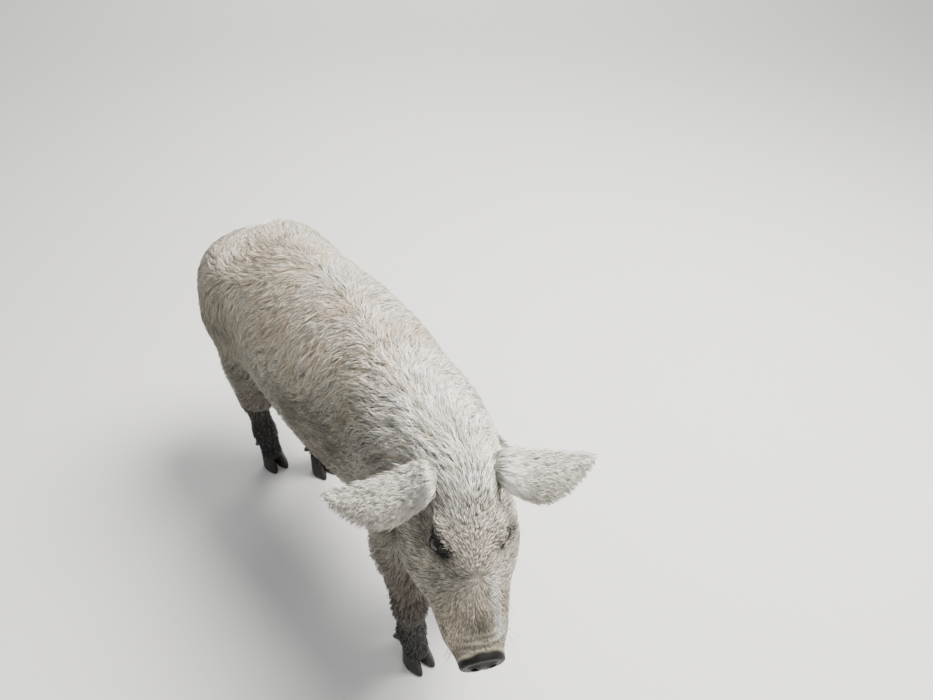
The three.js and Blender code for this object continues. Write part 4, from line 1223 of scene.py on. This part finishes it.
class PIG_OT_ear_coat(bpy.types.Operator):
    """Lays hair along the backs of the ears, with a fringe past their rims and fluff at their roots"""

    bl_idname = "pig.build_ear_coat"
    bl_label = "Ear coat"

    def execute(self, context):
        tones = context.scene.pig_colours.tones()
        draw = np.random.default_rng(8)
        for s, name in ((1, "left"), (-1, "right")):
            rings, out, front, back = ear_rings(s)
            rows, around = rings.shape[0] - 1, rings.shape[1]
            across = around // 2
            number = EAR_STRANDS
            t = draw.beta(1.0, 1.25, number)
            u = draw.uniform(0, 1, number)
            inner = draw.random(number) < 0.22
            u = np.where(inner, np.where(u < 0.5, 0.3 * u, 1 - 0.3 * (1 - u)), u)
            i = np.minimum((t * rows).astype(int), rows - 1)
            ft = t * rows - i
            col = u * (across - 1)
            j = np.minimum(col.astype(int), across - 2)
            fu = col - j
            k0 = np.where(inner, around - 1 - j, j)
            k1 = np.where(inner, around - 2 - j, j + 1)

            def at(row):
                return rings[row, k0] * (1 - fu)[:, None] + rings[row, k1] * fu[:, None]

            roots = at(i) * (1 - ft)[:, None] + at(i + 1) * ft[:, None]
            normal = np.where(inner[:, None], -back, back) + front * (2 * u - 1)[:, None] * 0.5
            normal = unit(normal)
            root_fluff = np.exp(-(t / 0.22) ** 2)
            rear = 1 - u
            way = out * column(0.85 - 0.25 * root_fluff) - front * column(rear * 0.55 - 0.20)
            way = way + draw.normal(0, 0.10, (number, 3))
            way = unit(way + back * column(0.30 * root_fluff))
            length = blend(0.018, 0.034, np.maximum(root_fluff, rear ** 3)) * draw.uniform(0.6, 1.15, number)
            length = length * blend(1.0, 0.55, t ** 2)
            steps = np.linspace(0, 1, 3)[None, :, None]
            lift = (0.0018 + 0.007 * root_fluff)[:, None, None]
            wave = 0.0022 * np.sin(math.tau * (steps + ripple(roots, 0.03, 41)[:, None, None])) * steps
            paths = roots[:, None] + way[:, None] * length[:, None, None] * steps
            paths = paths + normal[:, None] * lift * np.sin(steps * 2.2)
            paths = paths + np.cross(normal, way)[:, None] * wave - np.array([0, 0, 0.006]) * steps ** 2
            paths, _, tuft = gathered(paths, draw, 0.009, 0.45, (0.82, 1.12))
            pale = np.clip(0.35 + 0.5 * root_fluff + 0.4 * rear, 0, 1)
            tone = blend(tones["cream"], tones["white"], column(pale))
            tone = np.where(inner[:, None], tones["face"] * 0.8, tone)
            colour = tone * (tuft * draw.uniform(0.85, 1.15, number))[:, None]
            width = 0.0011 * draw.uniform(0.8, 1.2, number)
            normals = np.repeat(normal[:, None], 3, 1)
            coat_object("coat_ear_" + name, paths, normals, width, width * 0.5, colour)
        return {"FINISHED"}


class PIG_OT_tail_coat(bpy.types.Operator):
    """Lays hair down the tail, ending in a dark tassel"""

    bl_idname = "pig.build_tail_coat"
    bl_label = "Tail coat"

    def execute(self, context):
        tones = context.scene.pig_colours.tones()
        draw = np.random.default_rng(9)
        line = np.array(TAIL)
        number = TAIL_STRANDS
        t = 0.15 + 0.85 * draw.beta(1.5, 1.0, number)
        spot = t * (len(line) - 1)
        i = np.minimum(spot.astype(int), len(line) - 2)
        centre = line[i] + (line[i + 1] - line[i]) * (spot - i)[:, None]
        along = unit(line[i + 1] - line[i])
        out = draw.normal(size=(number, 3))
        out = unit(out - (out * along).sum(1, keepdims=True) * along)
        radius = blend(0.015, 0.006, t)[:, None]
        roots = centre + out * radius
        length = blend(0.020, 0.058, fade(0.55, 0.95, t)) * draw.uniform(0.6, 1.1, number)
        steps = np.linspace(0, 1, 5)[None, :, None]
        hang = unit(along * 0.9 + np.array([0, 0, -0.5]))
        swell = (0.005 + 0.010 * fade(0.5, 0.8, t))[:, None, None]
        wave = 0.004 * np.sin(math.tau * (steps * 1.1 + draw.random(number)[:, None, None]))
        paths = roots[:, None] + hang[:, None] * length[:, None, None] * steps
        paths = paths + out[:, None] * swell * np.sin(steps * 2.6)
        paths = paths + np.cross(out, along)[:, None] * wave * steps
        paths, _ = gathered(paths, draw, 0.010, 0.4)
        tone = blend(tones["cream"] * 0.8, tones["brown"] * 0.8, fade(0.35, 0.7, t)[:, None])
        colour = tone * draw.uniform(0.7, 1.25, number)[:, None]
        width = 0.0016 * draw.uniform(0.8, 1.2, number)
        normals = np.repeat(out[:, None], 5, 1)
        coat_object("coat_tail", paths, normals, width, width * 0.5, colour)
        return {"FINISHED"}


class PIG_OT_stage(bpy.types.Operator):
    """Sets the plain floor, the soft light and the camera"""

    bl_idname = "pig.build_stage"
    bl_label = "Stage"

    def execute(self, context):
        scene = context.scene
        made, _, _, shader = new_material("pale_floor")
        shader.inputs["Base Color"].default_value = (0.72, 0.71, 0.69, 1)
        shader.inputs["Roughness"].default_value = 0.9
        mesh = bpy.data.meshes.new("floor")
        r = FLOOR_REACH
        mesh.from_pydata([(-r, -r, 0), (r, -r, 0), (r, r, 0), (-r, r, 0)], [], [(0, 1, 2, 3)])
        mesh.materials.append(made)
        floor = bpy.data.objects.new("floor", mesh)
        scene.collection.objects.link(floor)
        world = bpy.data.worlds.new("soft_studio")
        world.use_nodes = True
        world.node_tree.nodes["Background"].inputs["Color"].default_value = (0.90, 0.95, 1.0, 1)
        world.node_tree.nodes["Background"].inputs["Strength"].default_value = 0.42
        scene.world = world
        for name, place, aim, size, power, colour in (
                ("overhead", (0.4, 1.4, 3.2), (0, 0, 0.4), 1.9, 335, (1.0, 0.98, 0.94)),
                ("front", (2.8, -0.2, 2.0), (0, 0, 0.4), 2.0, 28, (0.98, 0.99, 1.0)),
                ("rear", (-2.4, 1.6, 2.2), (0, 0, 0.4), 1.8, 24, (1.0, 0.98, 0.95)),
                ("far_floor", (-5.0, 4.0, 4.5), (-5.5, 4.5, 0), 5.0, 420, (1.0, 0.99, 0.97))):
            light = bpy.data.lights.new(name, "AREA")
            light.shape = "DISK"
            light.size = size
            light.energy = power
            light.color = colour
            lamp = bpy.data.objects.new(name, light)
            lamp.location = place
            lamp.rotation_euler = (Vector(aim) - Vector(place)).to_track_quat("-Z", "Y").to_euler()
            scene.collection.objects.link(lamp)
        self.camera(scene)
        return {"FINISHED"}

    @staticmethod
    def camera(scene):
        data = bpy.data.cameras.new("view")
        data.sensor_fit = "HORIZONTAL"
        data.sensor_width = SENSOR_MM
        data.lens = VIEW_FOCAL_PX / FRAME_WIDTH_PX * SENSOR_MM
        data.clip_end = 60
        heading, fall = math.radians(VIEW_HEADING), math.radians(VIEW_FALL)
        level = math.cos(fall)
        look = np.array([-math.cos(heading) * level, -math.sin(heading) * level, -math.sin(fall)])
        right = unit(np.cross(look, (0, 0, 1)))
        up = np.cross(right, look)
        view = bpy.data.objects.new("view", data)
        place = Matrix.Identity(4)
        for axis, way in enumerate((right, up, -look)):
            for row in range(3):
                place[row][axis] = float(way[row])
        place.translation = Vector(VIEW_FROM + FRAME_SHIFT)
        view.matrix_world = place
        scene.collection.objects.link(view)
        scene.camera = view


OPERATORS = (PIG_OT_stage, PIG_OT_skin, PIG_OT_eyes, PIG_OT_claws, PIG_OT_body_coat, PIG_OT_face_coat,
             PIG_OT_leg_coat, PIG_OT_ear_coat, PIG_OT_tail_coat)


class PIG_PT_build(bpy.types.Panel):
    """Lists the pieces of the pig and the sizes and colours of its coat"""

    bl_idname = "PIG_PT_build"
    bl_label = "Pig"
    bl_space_type = "VIEW_3D"
    bl_region_type = "UI"
    bl_category = "Pig"

    def draw(self, context):
        for settings in (context.scene.pig_coat, context.scene.pig_colours):
            box = self.layout.box()
            for name in settings.__annotations__:
                box.prop(settings, name)
        for operator in OPERATORS:
            self.layout.operator(operator.bl_idname)


CLASSES = (PigCoatSettings, PigColourSettings, *OPERATORS, PIG_PT_build)


def register():
    for each in CLASSES:
        bpy.utils.register_class(each)
    bpy.types.Scene.pig_coat = PointerProperty(type=PigCoatSettings)
    bpy.types.Scene.pig_colours = PointerProperty(type=PigColourSettings)


def unregister():
    del bpy.types.Scene.pig_colours
    del bpy.types.Scene.pig_coat
    for each in reversed(CLASSES):
        bpy.utils.unregister_class(each)


def main():
    register()
    for operator in OPERATORS:
        group, name = operator.bl_idname.split(".")
        getattr(getattr(bpy.ops, group), name)()


if __name__ == "__main__":
    main()
